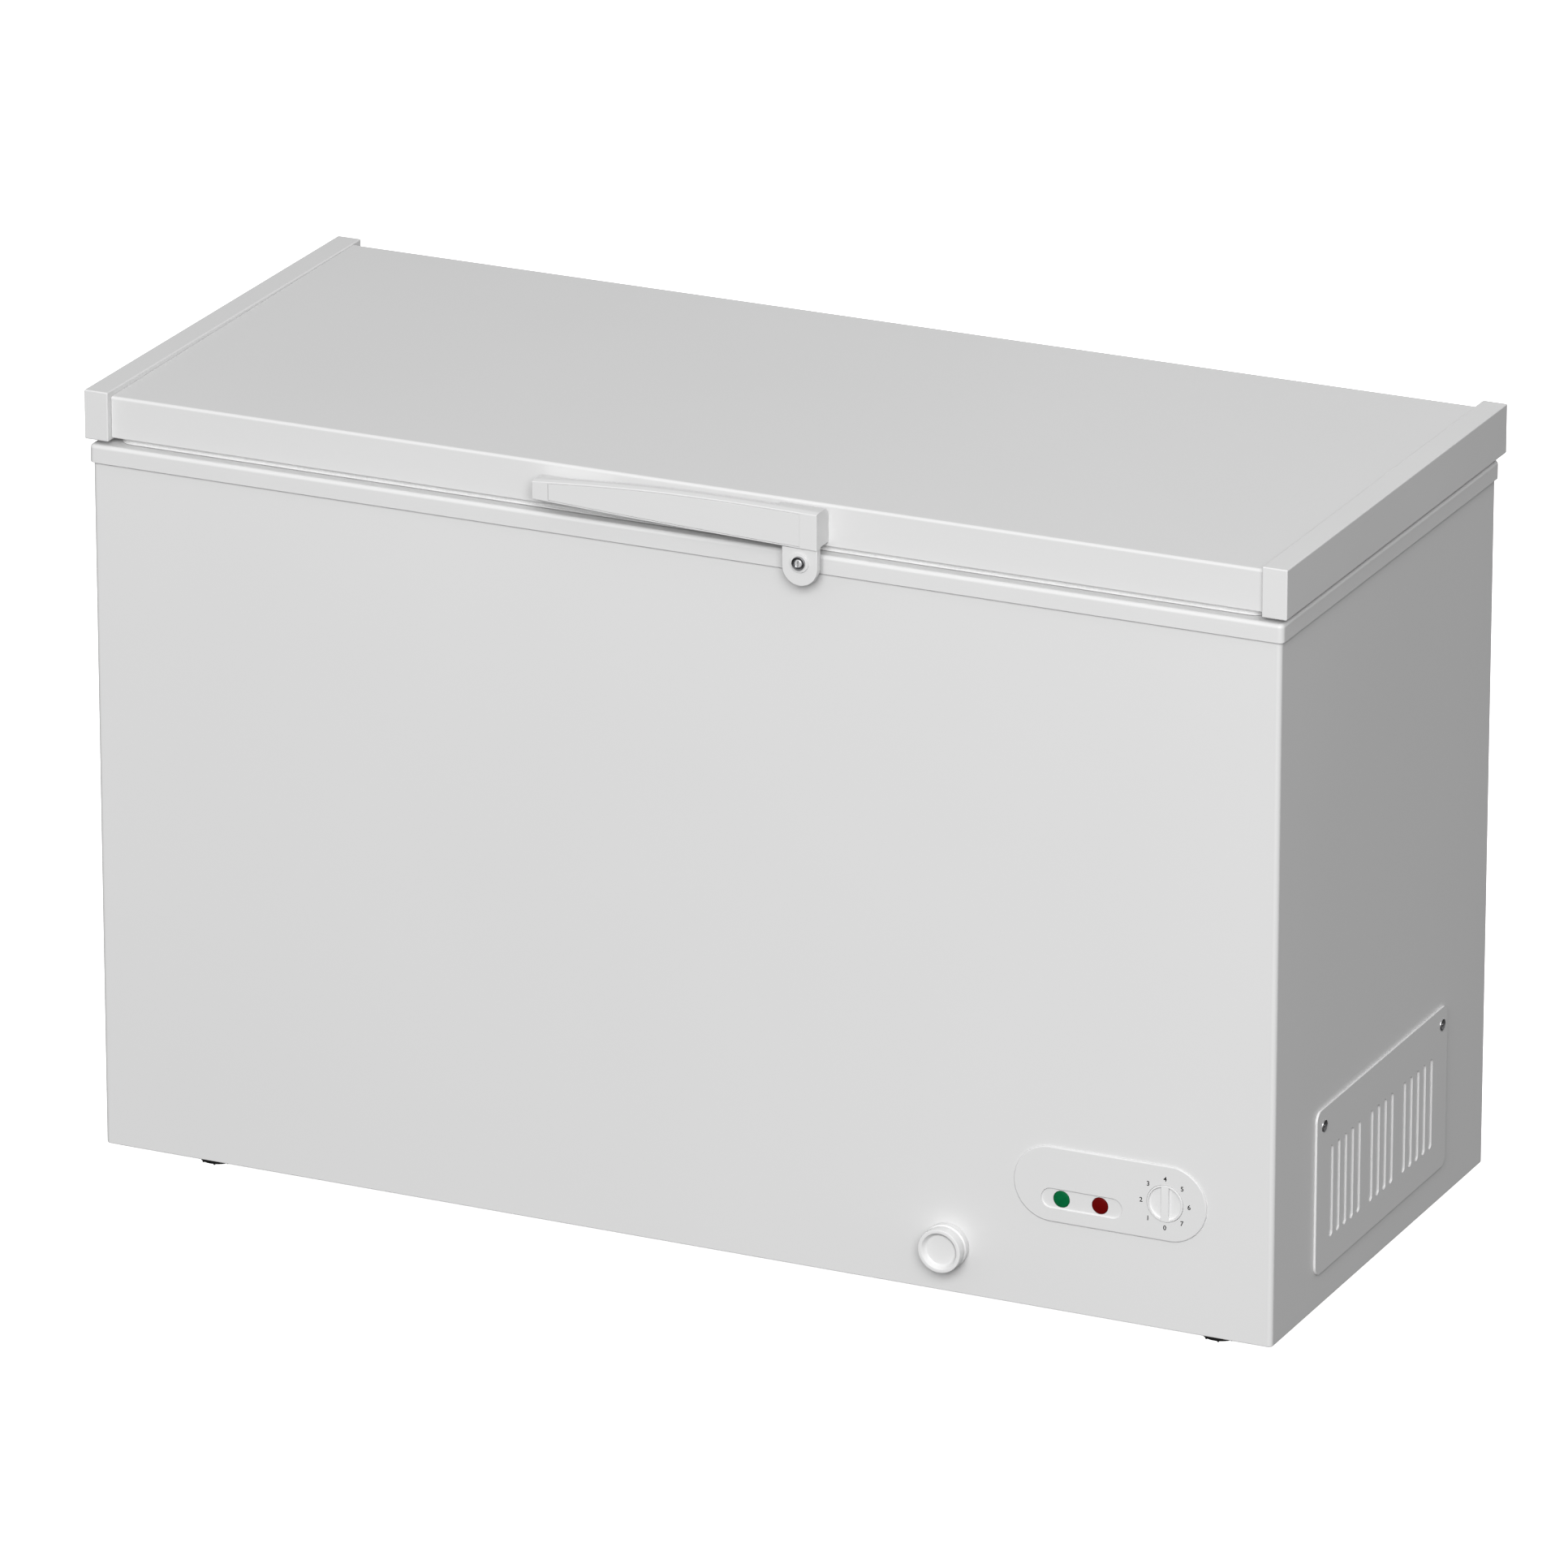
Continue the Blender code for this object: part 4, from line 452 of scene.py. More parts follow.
def make_cabinet():
    """The folded steel wrapper, with the openings for the control panel, the drain and the vent."""
    low, high = CABINET_LOW, CABINET_HIGH
    radius, rear_radius, flange = 0.005, 0.0045, 0.018
    path = [(low.x + flange, high.y)]
    path += arc(low.x + rear_radius, high.y - rear_radius, rear_radius, 90, 180, 6)
    path += arc(low.x + radius, low.y + radius, radius, 180, 270, 10)
    path += arc(high.x - radius, low.y + radius, radius, 270, 360, 10)
    path += arc(high.x - rear_radius, high.y - rear_radius, rear_radius, 0, 90, 6)
    path.append((high.x - flange, high.y))
    height = high.z - low.z
    shell = sheet("cabinet_shell", path, height, 3 * STEEL, centre=(0, 0, low.z + height / 2))
    bevelled(shell, "folded_hem", 0.0013, 3, 60).use_clamp_overlap = False
    reach = 0.01
    centre = middle(FASCIA_LOW, FASCIA_HIGH)
    control = plate("control_hole", [stadium(centre.x, centre.z, 0.200, 0.070)], 2 * reach, (0, low.y, 0),
                    FRONT_FACING)
    drain_centre = middle(DRAIN_LOW, DRAIN_HIGH)
    drain = hole("drain_hole", 0.011, reach, reach, (drain_centre.x, low.y, drain_centre.z))
    vent = block("vent_hole", (high.x - reach, -0.145, 0.065), (high.x + reach, 0.145, 0.200))
    shell = carve(shell, control, drain, vent)
    put(smooth(shell, 30), STEEL_WHITE, "cabinet", ["outer_wrapper"])


def make_collar():
    """A hollow frame: outer wall, rounded front edge, flat top, and a lip down into the liner."""
    low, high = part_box("collar_frame")
    half_x, half_y = high.x, high.y
    lip_x, lip_y, lip_corner = 0.5949, 0.2159, 0.018
    rim_z = CABINET_HIGH.z - 0.016
    wall, corner = 0.0025, 0.006
    front_edge, lip_edge, low_edge, steps = 0.0042, 0.0016, 0.0005, 6
    least_corner = 0.0004

    def ring(x, y, radius, z):
        return [(px, py, z) for px, py in rounded_rectangle(x, y, max(radius, least_corner), 6)]

    def turn(i):
        """The cosine and sine of a step of a quarter turn."""
        return math.cos(math.pi / 2 * i / steps), math.sin(math.pi / 2 * i / steps)

    sections = []
    for i in range(steps, -1, -1):
        cosine, sine = turn(i)
        inset = low_edge * (1 - cosine)
        sections.append((half_x - inset, half_y - inset, corner - inset, rim_z + low_edge * (1 - sine)))
    for i in range(steps + 1):
        cosine, sine = turn(i)
        inset = front_edge * (1 - cosine)
        sections.append((half_x - inset, half_y - inset, corner - inset, high.z - front_edge * (1 - sine)))
    for i in range(steps + 1):
        cosine, sine = turn(i)
        out = lip_edge * (1 - sine)
        sections.append((lip_x + out, lip_y + out, lip_corner + out, high.z - lip_edge * (1 - cosine)))
    sections.append((lip_x, lip_y, lip_corner, low.z))
    sections.append((lip_x + wall, lip_y + wall, lip_corner + wall, low.z))
    sections.append((lip_x + wall, lip_y + wall, lip_corner + wall, high.z - 2 * wall))
    sections.append((half_x - wall, half_y - wall, corner - wall, high.z - 2 * wall))
    sections.append((half_x - wall, half_y - wall, corner - wall, rim_z))
    collar = lofted("collar", [ring(*section) for section in sections], closed=True)
    put(smooth(collar, 35), PLASTIC_WHITE, "cabinet", ["collar_frame"])


# ---------------------------------------------------------------- lid

LID_SLOPE = 0.0044      # how much lower the lid's top is at its front than at its rear


def make_lid_skin():
    """The lid's steel skin: its top falls a little towards the front, down to a crisp fold."""
    low, high = SKIN_LOW, SKIN_HIGH
    front, rear, hem, return_flange = 0.0032, 0.0022, 0.0012, 0.012
    path = [(low.y + return_flange, low.z)]
    path += arc(low.y + hem, low.z + hem, hem, 270, 180, 4)
    path += arc(low.y + front, high.z - LID_SLOPE - front, front, 180, 90, 12)
    path += arc(high.y - rear, high.z - rear, rear, 90, 0, 10)
    path += arc(high.y - hem, low.z + hem, hem, 0, -90, 4)
    path.append((high.y - return_flange, low.z))
    skin = sheet("lid_sheet", path, high.x - low.x, STEEL, rotation=SIDE_FACING)
    put(smooth(skin, 30), STEEL_WHITE, "lid", ["lid_skin"])


def make_lid_foam():
    """The CAD's foam, with its top lowered under the skin's slope."""
    foam = refined("lid_foam", FOAM, 0.0)
    low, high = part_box("lid_foam")
    for vertex in foam.data.vertices:
        if vertex.co.z > (low.z + high.z) / 2:
            vertex.co.z -= LID_SLOPE * (high.y - vertex.co.y) / (high.y - low.y)


def make_gasket():
    """Hollow vinyl seal: a soft foot on the collar, bellows, and a barb up into the lid."""
    low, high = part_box("lid_gasket")
    half_width, corner = 0.007, 0.016
    centre_x, centre_y = high.x - half_width, high.y - half_width
    profile = [(-0.0070, low.z + 0.0006), (-0.0062, low.z + 0.0001), (0.0148, low.z + 0.0001),
               (0.0156, low.z + 0.0008), (0.0156, low.z + 0.0016), (0.0142, low.z + 0.0024),
               (0.0146, low.z + 0.0034), (0.0150, low.z + 0.0054), (0.0140, low.z + 0.0064),
               (0.0040, low.z + 0.0066), (0.0032, high.z - 0.0004), (-0.0032, high.z - 0.0004),
               (-0.0040, low.z + 0.0062), (-0.0066, low.z + 0.0058), (-0.0060, low.z + 0.0036),
               (-0.0052, low.z + 0.0024), (-0.0066, low.z + 0.0014)]
    loops = [[(x, y, z) for x, y in rounded_rectangle(centre_x + out * 0.5, centre_y + out, corner, 8)]
             for out, z in profile]
    seal = lofted("door_seal", loops, closed=True)
    put(smooth(seal, 40), VINYL, "lid", ["lid_gasket"])


def make_end_caps():
    """The plastic mouldings at the lid's two ends."""
    for side in ("left", "right"):
        low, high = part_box(f"lid_end_cap_{side}")
        cap = block(f"end_cap_{side}", low, high)
        put(round_edges(cap, 0.0013, 4), PLASTIC_WHITE, "lid", [f"lid_end_cap_{side}"])


HANDLE_LOW, HANDLE_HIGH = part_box("handle_body")
HANDLE_TOP = ((HANDLE_LOW.x, 0.8180), (-0.030, 0.8292), (0.050, 0.8295), (HANDLE_HIGH.x, 0.8272))
HANDLE_BOTTOM = ((HANDLE_LOW.x, 0.8000), (-0.066, 0.7956), (0.040, 0.7924), (HANDLE_HIGH.x, 0.7897))
BAR_THICKNESS = 0.010
TOP_RISE = 0.0016       # how far the bar's top stands above the curve HANDLE_TOP
FINGER_GAP = (-0.0700, 0.1180)
FACE_ENDS = (-0.1295, 0.1486)


def height_at(edge, x):
    """The height of a line of points at a place along it."""
    for (x0, z0), (x1, z1) in zip(edge, edge[1:]):
        if x0 <= x <= x1:
            return z0 + (z1 - z0) * (x - x0) / (x1 - x0)
    return edge[0][1] if x < edge[0][0] else edge[-1][1]


def handle_outline(inset, left, right, top_inset=None, count=48):
    """The handle's front outline, pulled in all round, and by its own amount along the top."""
    drop = (inset if top_inset is None else top_inset) - TOP_RISE
    top_edge, bottom_edge = bezier(HANDLE_TOP, count), bezier(HANDLE_BOTTOM, count)
    places = [left + (right - left) * i / count for i in range(count + 1)]
    low = [(x, height_at(bottom_edge, x) + inset) for x in places]
    high = [(x, height_at(top_edge, x) - drop) for x in places]
    return low + high[::-1]


def make_handle():
    """A curved bar on two blocks, with a thin face plate let into its front."""
    front_y = HANDLE_LOW.y
    back_y = front_y + BAR_THICKNESS
    mount_y = HANDLE_HIGH.y
    # Each layer is a depth, an inset all round, and an inset along the top
    layers = [(front_y, 0.0006, 0.0022), (front_y + 0.0002, 0.0002, 0.0018), (front_y + 0.0006, 0.0, 0.0014),
              (front_y + 0.0052, 0.0, 0.0003), (front_y + 0.0064, 0.0, 0.0), (back_y - 0.0006, 0.0, 0.0),
              (back_y, 0.0006, 0.0006)]
    loops = []
    for y, inset, top_inset in layers:
        outline = handle_outline(inset, HANDLE_LOW.x + inset, HANDLE_HIGH.x - inset, top_inset)
        loops.append([(x, y, z) for x, z in outline])
    bar = lofted("handle_bar", loops, capped=True)
    top_edge, bottom_edge = bezier(HANDLE_TOP, 48), bezier(HANDLE_BOTTOM, 48)
    blocks = []
    step, overlap = 0.0004, 0.004
    for left, right in ((HANDLE_LOW.x, FINGER_GAP[0]), (FINGER_GAP[1], HANDLE_HIGH.x)):
        high = min(height_at(top_edge, left), height_at(top_edge, right)) + TOP_RISE - step
        low = max(height_at(bottom_edge, left), height_at(bottom_edge, right)) + step
        profile = [(back_y - overlap, low), (mount_y, low), (mount_y, high - 0.008), (mount_y - 0.007, high),
                   (back_y - overlap, high)]
        blocks.append(plate("handle_block", [profile], right - left - step / 2, ((left + right) / 2, 0, 0),
                            SIDE_FACING, 0.0005))
    face_left, face_right = FACE_ENDS
    clearance = 0.0002
    recess = plate("fascia_recess", [handle_outline(0.0015, face_left, face_right, 0.0030)], 0.0036,
                   (0, front_y, 0), FRONT_FACING)
    bar = carve(bar, *blocks, operation='UNION')
    bar = carve(bar, recess)
    put(smooth(bar, 30), PLASTIC_WHITE, "lid", ["handle_body"])
    face = handle_outline(0.0015 + clearance, face_left + clearance, face_right - clearance, 0.0033)
    fascia = plate("handle_face", [face], 0.0015, (0, front_y + 0.00085, 0), FRONT_FACING, 0.0004)
    put(smooth(fascia, 30), STEEL_WHITE, "lid", ["handle_fascia"])


def make_lock():
    """A rounded tab with a boss, and in its bore a dished ring round a plug with a keyway."""
    low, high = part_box("lock_housing")
    centre = middle(LOCK_LOW, LOCK_HIGH)
    x, z = centre.x, centre.z
    radius = (high.x - low.x) / 2
    front_y = -0.3005
    outline = [(high.x, high.z), (low.x, high.z)] + arc(x, low.z + radius, radius, 180, 360, 40)
    thickness = high.y - front_y
    tab = plate("lock_tab", [outline], thickness, (0, front_y + thickness / 2, 0), FRONT_FACING, 0.0007)
    boss_profile = [(0, 0.0015), (0.0098, 0.0015), (0.0101, 0.0013), (0.0102, 0.0010), (0.0102, -0.0017),
                    (0, -0.0017)]
    boss = turned("lock_boss", boss_profile, (x, front_y, z), FRONT_FACING)
    bore = hole("lock_bore", 0.0071, 0.02, 0.02, (x, front_y, z), steps=60)
    tab = carve(tab, boss, operation='UNION')
    tab = carve(tab, bore)
    put(smooth(tab, 30), PLASTIC_WHITE, "lid", ["lock_housing"])

    front, rear = -LOCK_LOW.y, -LOCK_HIGH.y
    inner, outer = 0.0044, 0.0070
    bowl = quarter(inner, front - 0.0004, 0.0010, -0.0020, 6)
    rim = [(0.0062, front - 0.0001), (0.0066, front), (0.0069, front - 0.0003), (outer, front - 0.0008)]
    ring = turned("lock_ring", bowl + rim + [(outer, rear), (inner, rear)], (x, 0, z), FRONT_FACING,
                  closed=True)
    # The lock ring's darkened chrome is painted dark reflection
    put(smooth(ring, 30), PAINTED_DARK_CHROME, "lock", ["lock_cylinder"])
    plug = [(0, front - 0.0009), (0.0034, front - 0.0009), (0.0038, front - 0.0012), (0.0042, front - 0.0022),
            (0.0042, rear), (0, rear)]
    core = turned("lock_plug", plug, (x, 0, z), FRONT_FACING)
    keyway = block("keyway", (x - 0.0005, LOCK_LOW.y - 0.001, z - 0.0030),
                   (x + 0.0005, LOCK_LOW.y + 0.008, z + 0.0030))
    ward = block("keyway_ward", (x - 0.0012, LOCK_LOW.y - 0.001, z + 0.0004),
                 (x + 0.0002, LOCK_LOW.y + 0.007, z + 0.0012))
    core = carve(core, keyway, ward)
    put(smooth(core, 30), KEYWAY, "lock", ())


# ---------------------------------------------------------------- controls

def make_control_panel():
    """A rounded panel with a lamp pocket and a knob hole, and the two domed lenses in the pocket."""
    low, high = FASCIA_LOW, FASCIA_HIGH
    centre = middle(low, high)
    width, height = high.x - low.x, high.z - low.z
    thickness, step = 0.0032, 0.0008
    knob = middle(KNOB_LOW, KNOB_HIGH)
    knob_hole = (KNOB_HIGH.x - KNOB_LOW.x) / 2 + 0.0003
    panel = plate("control_panel", [stadium(centre.x, centre.z, width, height, 40)], thickness,
                  (0, low.y + thickness / 2, 0), FRONT_FACING, 0.0013)
    boss = plate("panel_boss", [stadium(centre.x, centre.z, 0.197, 0.067, 30)], high.y - low.y - step,
                 (0, (high.y + low.y + step) / 2, 0), FRONT_FACING)
    lens_z = middle(*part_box("green_lens")).z
    pocket_x, reach = 0.4505, 0.010
    floor_y = low.y + 0.0018
    pocket = plate("pocket", [stadium(pocket_x, lens_z, 0.0890, 0.0220, 30)], reach,
                   (0, floor_y - reach / 2, 0), FRONT_FACING, 0.0014)
    lens_radius, lens_gap, through = 0.0088, 0.0003, 0.02
    holes = [hole("knob_hole", knob_hole, through, through, (knob.x, low.y, knob.z), steps=96)]
    for node in ("green_lens", "red_lens"):
        lens = middle(*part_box(node))
        holes.append(hole(node + "_hole", lens_radius + lens_gap, through, through, (lens.x, low.y, lens.z)))
    panel = carve(panel, boss, operation='UNION')
    panel = carve(panel, pocket, *holes)
    bevelled(panel, "soft_lips", 0.0003, 2, 60)
    put(smooth(panel, 30), PLASTIC_WHITE, "cabinet", ["control_fascia"])

    for node, mat in (("green_lens", GREEN), ("red_lens", RED)):
        lens = middle(*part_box(node))
        dome = quarter(0, -0.0001, lens_radius, 0.0012, 10)
        piece = turned(node + "_dome", dome + [(lens_radius, -0.0035), (0, -0.0035)],
                       (lens.x, floor_y, lens.z), FRONT_FACING)
        put(smooth(piece, 30), mat, "cabinet", [node])


def make_knob():
    """A round dial with its two sides scooped out beside a straight grip."""
    centre = middle(KNOB_LOW, KNOB_HIGH)
    face = -KNOB_LOW.y
    radius = (KNOB_HIGH.x - KNOB_LOW.x) / 2
    back, stem_radius, stem_end = 0.2690, 0.0032, 0.2540
    profile = [(0, face), (radius - 0.0007, face), (radius - 0.0002, face - 0.0002), (radius, face - 0.0007),
               (radius, back), (stem_radius, back), (stem_radius, stem_end), (0, stem_end)]
    knob = turned("dial", profile, (centre.x, 0, centre.z), FRONT_FACING, 96)
    rim, half_grip, depth, fillet = 0.0017, 0.0040, 0.0028, 0.0013
    cutters = []
    for start in (-90, 90):
        inner = radius - rim
        reach = math.degrees(math.asin(half_grip / inner))
        chord = arc(0, 0, inner, start + reach, start + 180 - reach, 40)
        cutters.append(plate("grip_side", [chord], 2 * depth, (centre.x, -face, centre.z), FRONT_FACING,
                             fillet))
    knob = carve(knob, *cutters)
    round_edges(knob, 0.00025, 2, 50)
    put(knob, KNOB_WHITE, "knob", ["thermostat_knob"])


def make_numbers():
    """The dial's eight numbers, clockwise from 0 at the bottom."""
    centre = middle(KNOB_LOW, KNOB_HIGH)
    circle, count, ink_height = 0.0262, 8, 0.00005
    for number in range(count):
        angle = 2 * math.pi * number / count
        text = bpy.data.curves.new(f"number_{number}", 'FONT')
        text.body = str(number)
        text.size = 0.0070
        text.align_x = 'CENTER'
        text.align_y = 'CENTER'
        text.extrude = 0.00004
        text.offset = 0.00012
        place = (centre.x - circle * math.sin(angle), FASCIA_LOW.y - ink_height,
                 centre.z - circle * math.cos(angle))
        put(linked(f"number_{number}", text, place, FRONT_FACING), INK, "cabinet")


# ---------------------------------------------------------------- drain, vent and feet

def make_drain_cap():
    """A round cap with a dished face, a grip groove and a wider foot."""
    centre = middle(DRAIN_LOW, DRAIN_HIGH)
    length = CABINET_LOW.y - DRAIN_LOW.y
    r, dish = 0.0235, 0.005
    dish_floor = [(0, length - dish), (0.0150, length - dish), (0.0160, length - dish + 0.0002)]
    dish_wall = [(0.0168, length - dish + 0.0009), (0.0180, length - 0.0024), (0.0189, length - 0.0008)]
    lip = [(0.0194, length - 0.0002), (0.0200, length), (r - 0.0012, length), (r - 0.0005, length - 0.0003),
           (r - 0.0001, length - 0.0010)]
    groove = [(r, length - 0.0080), (r - 0.0002, length - 0.0086), (r - 0.0010, length - 0.0090),
              (r - 0.0010, 0.0086), (r - 0.0002, 0.0080)]
    foot = [(r + 0.0003, 0.0074), (r + 0.0003, 0.0009), (r, 0.0003), (0.0075, 0.0003)]
    stem = [(0.0075, -0.012), (0, -0.012)]
    cap = turned("drain_knob", dish_floor + dish_wall + lip + groove + foot + stem,
                 (centre.x, CABINET_LOW.y, centre.z), FRONT_FACING, 96)
    put(smooth(cap, 30), KNOB_WHITE, "drain_cap", ["drain_cap"])


def make_vent_panel():
    """A raised cover with three groups of slots, each a shallow recess with a narrow opening in it."""
    low, high = VENT_LOW, VENT_HIGH
    wall_x, face_x = CABINET_HIGH.x, high.x - 0.0008
    centre = (-0.0020, (low.z + high.z) / 2 + 0.0010)
    outline = rounded_rectangle((high.y - low.y) / 2, (high.z - low.z) / 2, 0.011, 12, centre)
    panel = plate("vent_cover", [outline], face_x - wall_x, ((face_x + wall_x) / 2, 0, 0), SIDE_FACING,
                  0.0004)
    tray = block("vent_tray", (wall_x - 0.0035, -0.140, 0.070), (face_x - 0.0005, 0.140, 0.192))
    panel = carve(panel, tray, operation='UNION')
    slot_low, slot_high, pitch = 0.0804, 0.1792, 0.0178
    slot_z, slot_height = (slot_low + slot_high) / 2, slot_high - slot_low
    slot_width, slot_depth = 0.0092, 0.0021
    opening_width, opening_shift, opening_end = 0.0026, 0.0031, 0.003
    cutters = []
    for group, count in ((-0.0997, 5), (-0.0045, 4), (0.0907, 5)):
        for i in range(count):
            y = group + (i - (count - 1) / 2) * pitch
            shape = stadium(y, slot_z, slot_width, slot_height, 10)
            cutters.append(plate("slot", [shape], 2 * slot_depth, (face_x, 0, 0), SIDE_FACING))
            slit = stadium(y - opening_shift, slot_z, opening_width, slot_height - 2 * opening_end, 10)
            cutters.append(plate("slot_opening", [slit], 0.014, (wall_x, 0, 0), SIDE_FACING))
    for i in (1, 2):
        screw = middle(*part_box(f"vent_screw_{i}"))
        cutters.append(hole("screw_seat", 0.0058, 0.01, 0.0018, (face_x, screw.y, screw.z), AXIS_ALONG_X, 48))
    panel = carve(panel, *cutters)
    put(smooth(panel, 30), STEEL_WHITE, "cabinet", ["vent_panel"])
    for i in (1, 2):
        make_vent_screw(i, face_x)


def make_vent_screw(index, face_x):
    """A dished screw head with a centre pin, sitting in a turned cup washer."""
    screw = middle(*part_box(f"vent_screw_{index}"))
    place = (face_x, screw.y, screw.z)
    cup = [(0.0056, 0.0002), (0.0056, 0.0008), (0.0058, 0.0010), (0.0061, 0.0010), (0.0064, 0.0007),
           (0.0066, 0.0002)]
    washer = turned(f"cup_washer_{index}", cup, place, AXIS_ALONG_X, 48, closed=True)
    put(smooth(washer, 30), ZINC, "cabinet")
    pin = quarter(0, -0.0002, 0.0016, 0.0016, 6)
    dish = [(0.0017, -0.0010), (0.0024, -0.0009), (0.0042, 0.0002), (0.0050, 0.0008), (0.0054, 0.0008),
            (0.0056, 0.0005), (0.0056, -0.0016), (0, -0.0016)]
    head = turned(f"screw_{index}", pin + dish, place, AXIS_ALONG_X, 48)
    put(smooth(head, 30), DARK_SCREW, "cabinet", [f"vent_screw_{index}"])


def make_feet():
    """Levelling feet: a disc on a stud, with a ring of small nubs that stand on the floor."""
    nubs, nub_radius = 8, 0.0013
    r, stud_radius = 0.0195, 0.0040
    nub_circle = r - 0.0012
    for node in [n for n in frame["nodes"] if n.startswith("foot_")]:
        low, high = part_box(node)
        centre = middle(low, high)
        profile = [(0, high.z), (stud_radius - 0.0005, high.z), (stud_radius, high.z - 0.001),
                   (stud_radius, 0.0110), (0.0090, 0.0102), (r - 0.0010, 0.0088), (r - 0.0002, 0.0083),
                   (r, 0.0075), (r, 0.0028), (r - 0.0008, 0.0012), (r - 0.0020, 0.0007), (0, 0.0007)]
        foot = turned(node + "_disc", profile, (centre.x, centre.y, 0), (0, 0, 0), 64)
        bm = bmesh.new()
        bm.from_mesh(foot.data)
        for i in range(nubs):
            angle = 2 * math.pi * (i + 0.3) / nubs
            made = bmesh.ops.create_icosphere(bm, subdivisions=2, radius=nub_radius)
            spot = (centre.x + nub_circle * math.cos(angle), centre.y + nub_circle * math.sin(angle),
                    nub_radius)
            bmesh.ops.translate(bm, vec=spot, verts=made["verts"])
        bm.to_mesh(foot.data)
        bm.free()
        put(smooth(foot, 30), BLACK_PLASTIC, node, [node])


# ---------------------------------------------------------------- everything carried over from the CAD

CARRIED = {
    "rear_panel": STEEL_WHITE, "inner_liner": LINER_WHITE, "insulation_foam": FOAM,
    "evaporator_coil": ALUMINIUM, "condenser_coil": COPPER, "suction_tube": COPPER, "discharge_tube": COPPER,
    "capillary_tube": COPPER, "hinge_spring_left": ZINC, "hinge_spring_right": ZINC,
    "wire_basket": WIRE, "drain_tube": PLASTIC_WHITE,
}
# Each node's material and the width that its edges are rounded by
REFINED = {
    "base_pan": (GALVANISED, 0.0), "compartment_partition": (GALVANISED, 0.0003),
    "lid_inner_panel": (PLASTIC_WHITE, 0.0008),
    "compressor": (BLACK_ENAMEL, 0.0008), "terminal_cover": (BLACK_PLASTIC, 0.0003),
    "filter_drier": (COPPER, 0.0004),
    "control_housing": (BLACK_PLASTIC, 0.0005), "thermostat": (BLACK_PLASTIC, 0.0006),
    "green_lamp": (BLACK_PLASTIC, 0.0004), "red_lamp": (BLACK_PLASTIC, 0.0004),
    "cord_gland": (BLACK_PLASTIC, 0.0003),
    "lock_strike": (ZINC, 0.0003), "lock_cam": (ZINC, 0.0003), "drain_plug": (RUBBER, 0.0004),
    "hinge_bracket_left": (ZINC, 0.0003), "hinge_bracket_right": (ZINC, 0.0003),
    "hinge_leaf_left": (ZINC, 0.0003), "hinge_leaf_right": (ZINC, 0.0003),
    "hinge_pin_left": (ZINC, 0.0003), "hinge_pin_right": (ZINC, 0.0003),
    "compressor_grommet_1": (RUBBER, 0.0004), "compressor_grommet_2": (RUBBER, 0.0004),
    "compressor_grommet_3": (RUBBER, 0.0004), "compressor_grommet_4": (RUBBER, 0.0004),
}


def carry_over():
    """Gives the remaining CAD nodes their materials, or a piece with rounded edges in their place."""
    for node, mat in CARRIED.items():
        obj = frame["nodes"][node]
        for slot in obj.material_slots:
            slot.material = mat
    for node, (mat, width) in REFINED.items():
        refined(node, mat, width)


# ---------------------------------------------------------------- studio

CAMERA_PLACE = (5.2911, -11.3386, 4.9799)
CAMERA_TARGET = (-0.01006, 0.0, 0.41685)
FOCAL_LENGTH = 297.7
FLOOR_GLOW = 1.0
HIGH_SKY = 0.50
LOW_SKY = 0.05
KEY_LIGHT = 2190.0
FILL_LIGHT = 70.0


def aim(obj, location, target):
    direction = Vector(target) - Vector(location)
    obj.rotation_euler = direction.to_track_quat('-Z', 'Y').to_euler()


def area_light(name, location, target, width, height, power):
    light = bpy.data.lights.new(name, 'AREA')
    light.shape = 'RECTANGLE'
    light.size = width
    light.size_y = height
    light.energy = power
    aim(linked(name, light, location), location, target)


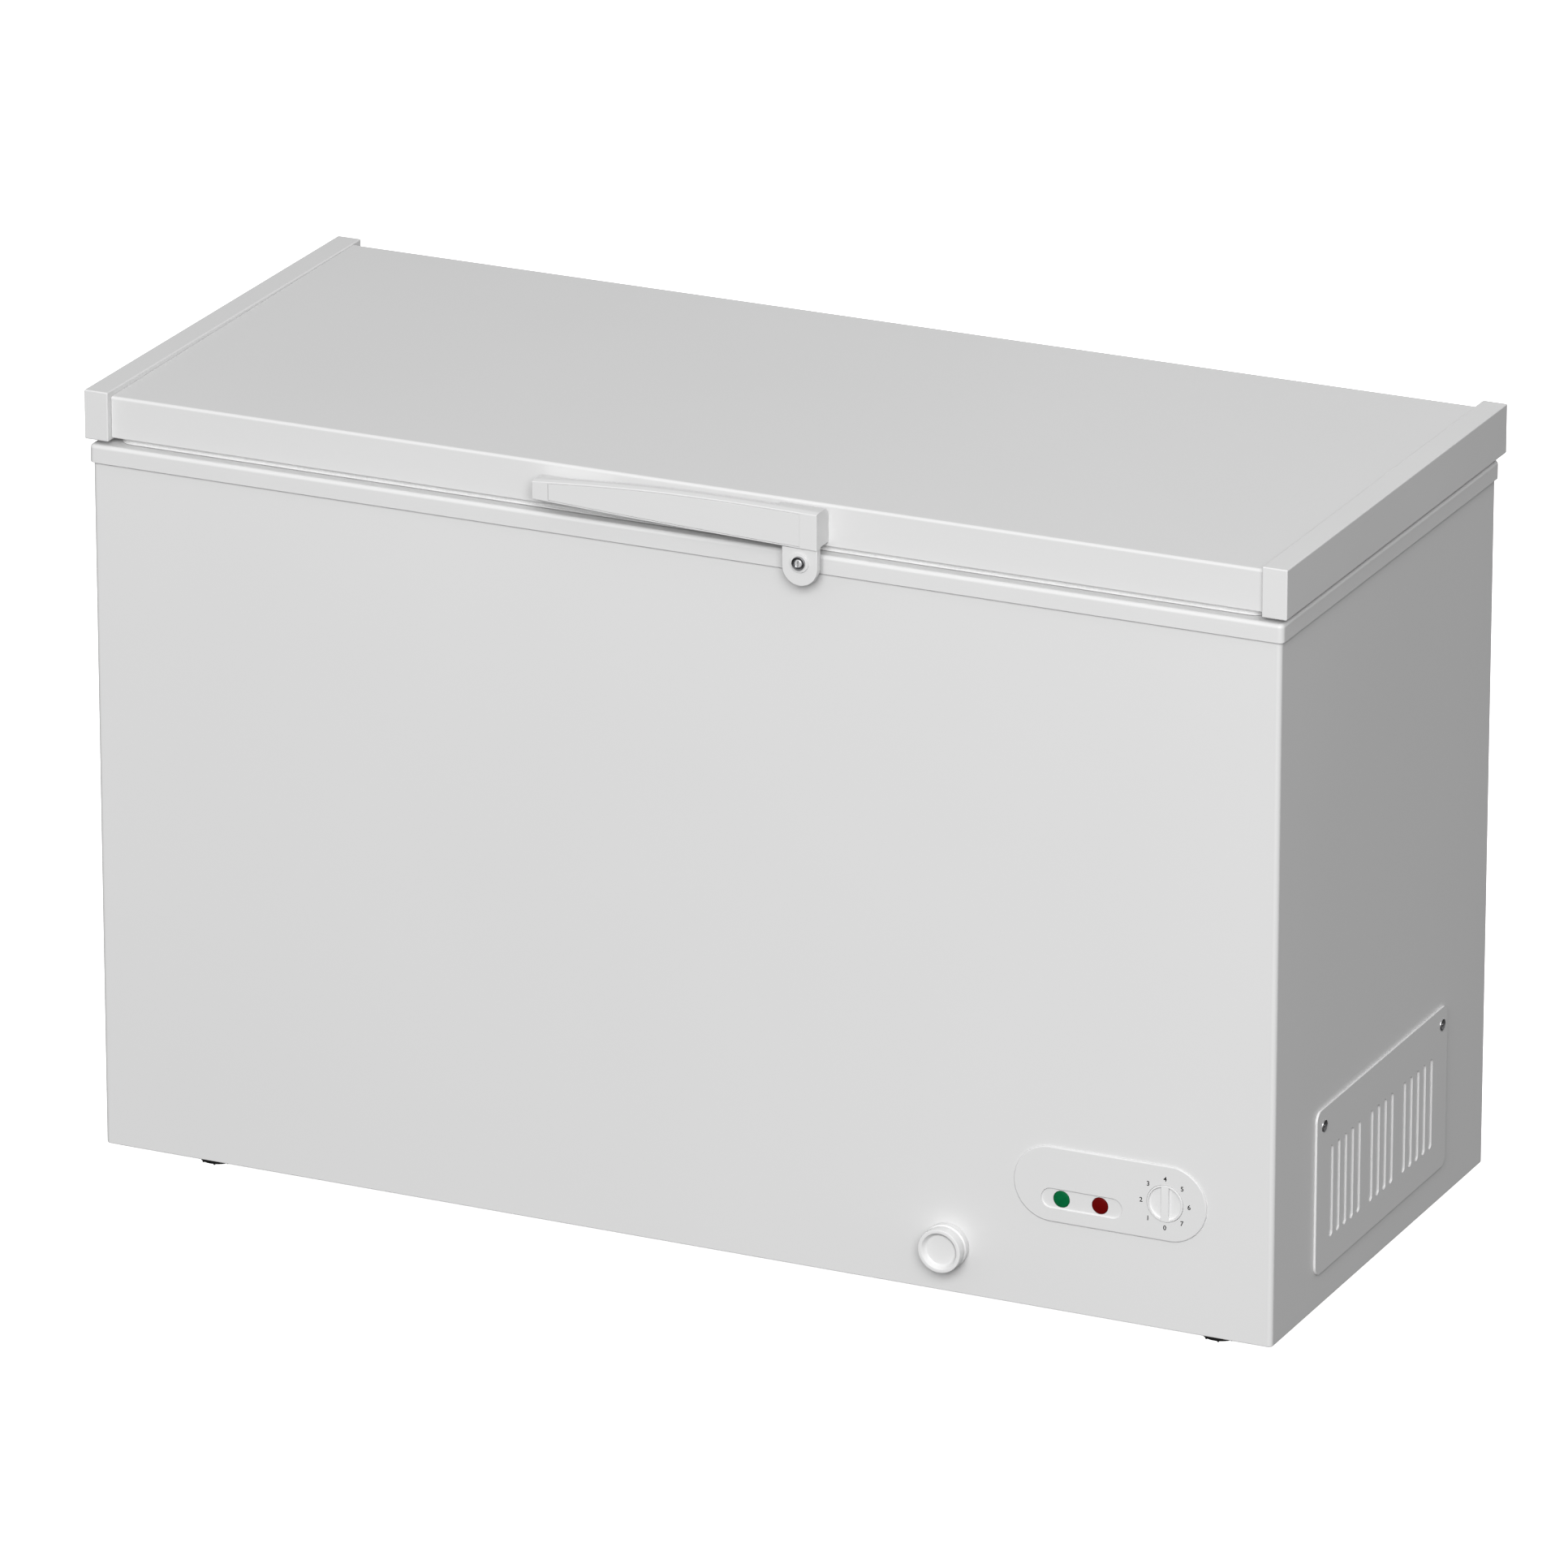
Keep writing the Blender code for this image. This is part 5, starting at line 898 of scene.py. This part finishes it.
def make_floor():
    """A pale floor that glows evenly, and that the freezer's sides neither reflect nor are lit by."""
    mesh = bpy.data.meshes.new("floor")
    bm = bmesh.new()
    bmesh.ops.create_grid(bm, x_segments=8, y_segments=8, size=30)
    bm.to_mesh(mesh)
    bm.free()
    floor = linked("floor", mesh)
    mat = finish("studio_floor", (0.92, 0.92, 0.92), 0.9, variation=0.004, patch=0.5, grain=40)
    shader = mat.node_tree.nodes["Principled BSDF"]
    shader.inputs["Emission Color"].default_value = (1, 1, 1, 1)
    shader.inputs["Emission Strength"].default_value = FLOOR_GLOW
    mesh.materials.append(mat)
    floor.visible_diffuse = False
    floor.visible_glossy = False


def make_sky():
    """Soft light from all round, dark below the horizon and pale above it."""
    world = bpy.data.worlds.new("studio")
    world.use_nodes = True
    tree = world.node_tree
    background = tree.nodes["Background"]
    background.inputs["Strength"].default_value = 1.0
    direction = tree.nodes.new("ShaderNodeTexCoord")
    split = tree.nodes.new("ShaderNodeSeparateXYZ")
    height = tree.nodes.new("ShaderNodeMapRange")
    height.inputs["From Min"].default_value = -0.25
    height.inputs["From Max"].default_value = 0.15
    tree.links.new(direction.outputs["Generated"], split.inputs["Vector"])
    tree.links.new(split.outputs["Z"], height.inputs["Value"])
    shade = mixed(tree, height.outputs["Result"], (LOW_SKY,) * 3, (HIGH_SKY,) * 3)
    tree.links.new(shade, background.inputs["Color"])
    bpy.context.scene.world = world


def make_studio():
    make_floor()
    make_sky()
    area_light("key", (4.45, -11.50, 7.00), (0, 0, 0.4), 8.9, 6.4, KEY_LIGHT)
    area_light("back", (-1.0, 7.0, 0.9), (0, 0, 0.5), 4.0, 2.0, FILL_LIGHT)
    area_light("left", (-7.0, 0.5, 0.9), (0, 0, 0.5), 4.0, 2.0, FILL_LIGHT)
    bpy.context.scene.view_settings.view_transform = 'Standard'
    bpy.context.scene.view_settings.look = 'None'


def make_camera():
    camera = bpy.data.cameras.new("camera")
    camera.sensor_width = 36.0
    camera.lens = FOCAL_LENGTH
    camera.clip_end = 200.0
    obj = linked("camera", camera, CAMERA_PLACE)
    aim(obj, CAMERA_PLACE, CAMERA_TARGET)
    bpy.context.scene.camera = obj


# ---------------------------------------------------------------- the whole freezer

make_cabinet()
make_collar()
make_lid_skin()
make_lid_foam()
make_gasket()
make_end_caps()
make_handle()
make_lock()
make_control_panel()
make_knob()
make_numbers()
make_drain_cap()
make_vent_panel()
make_feet()
carry_over()
make_studio()
make_camera()
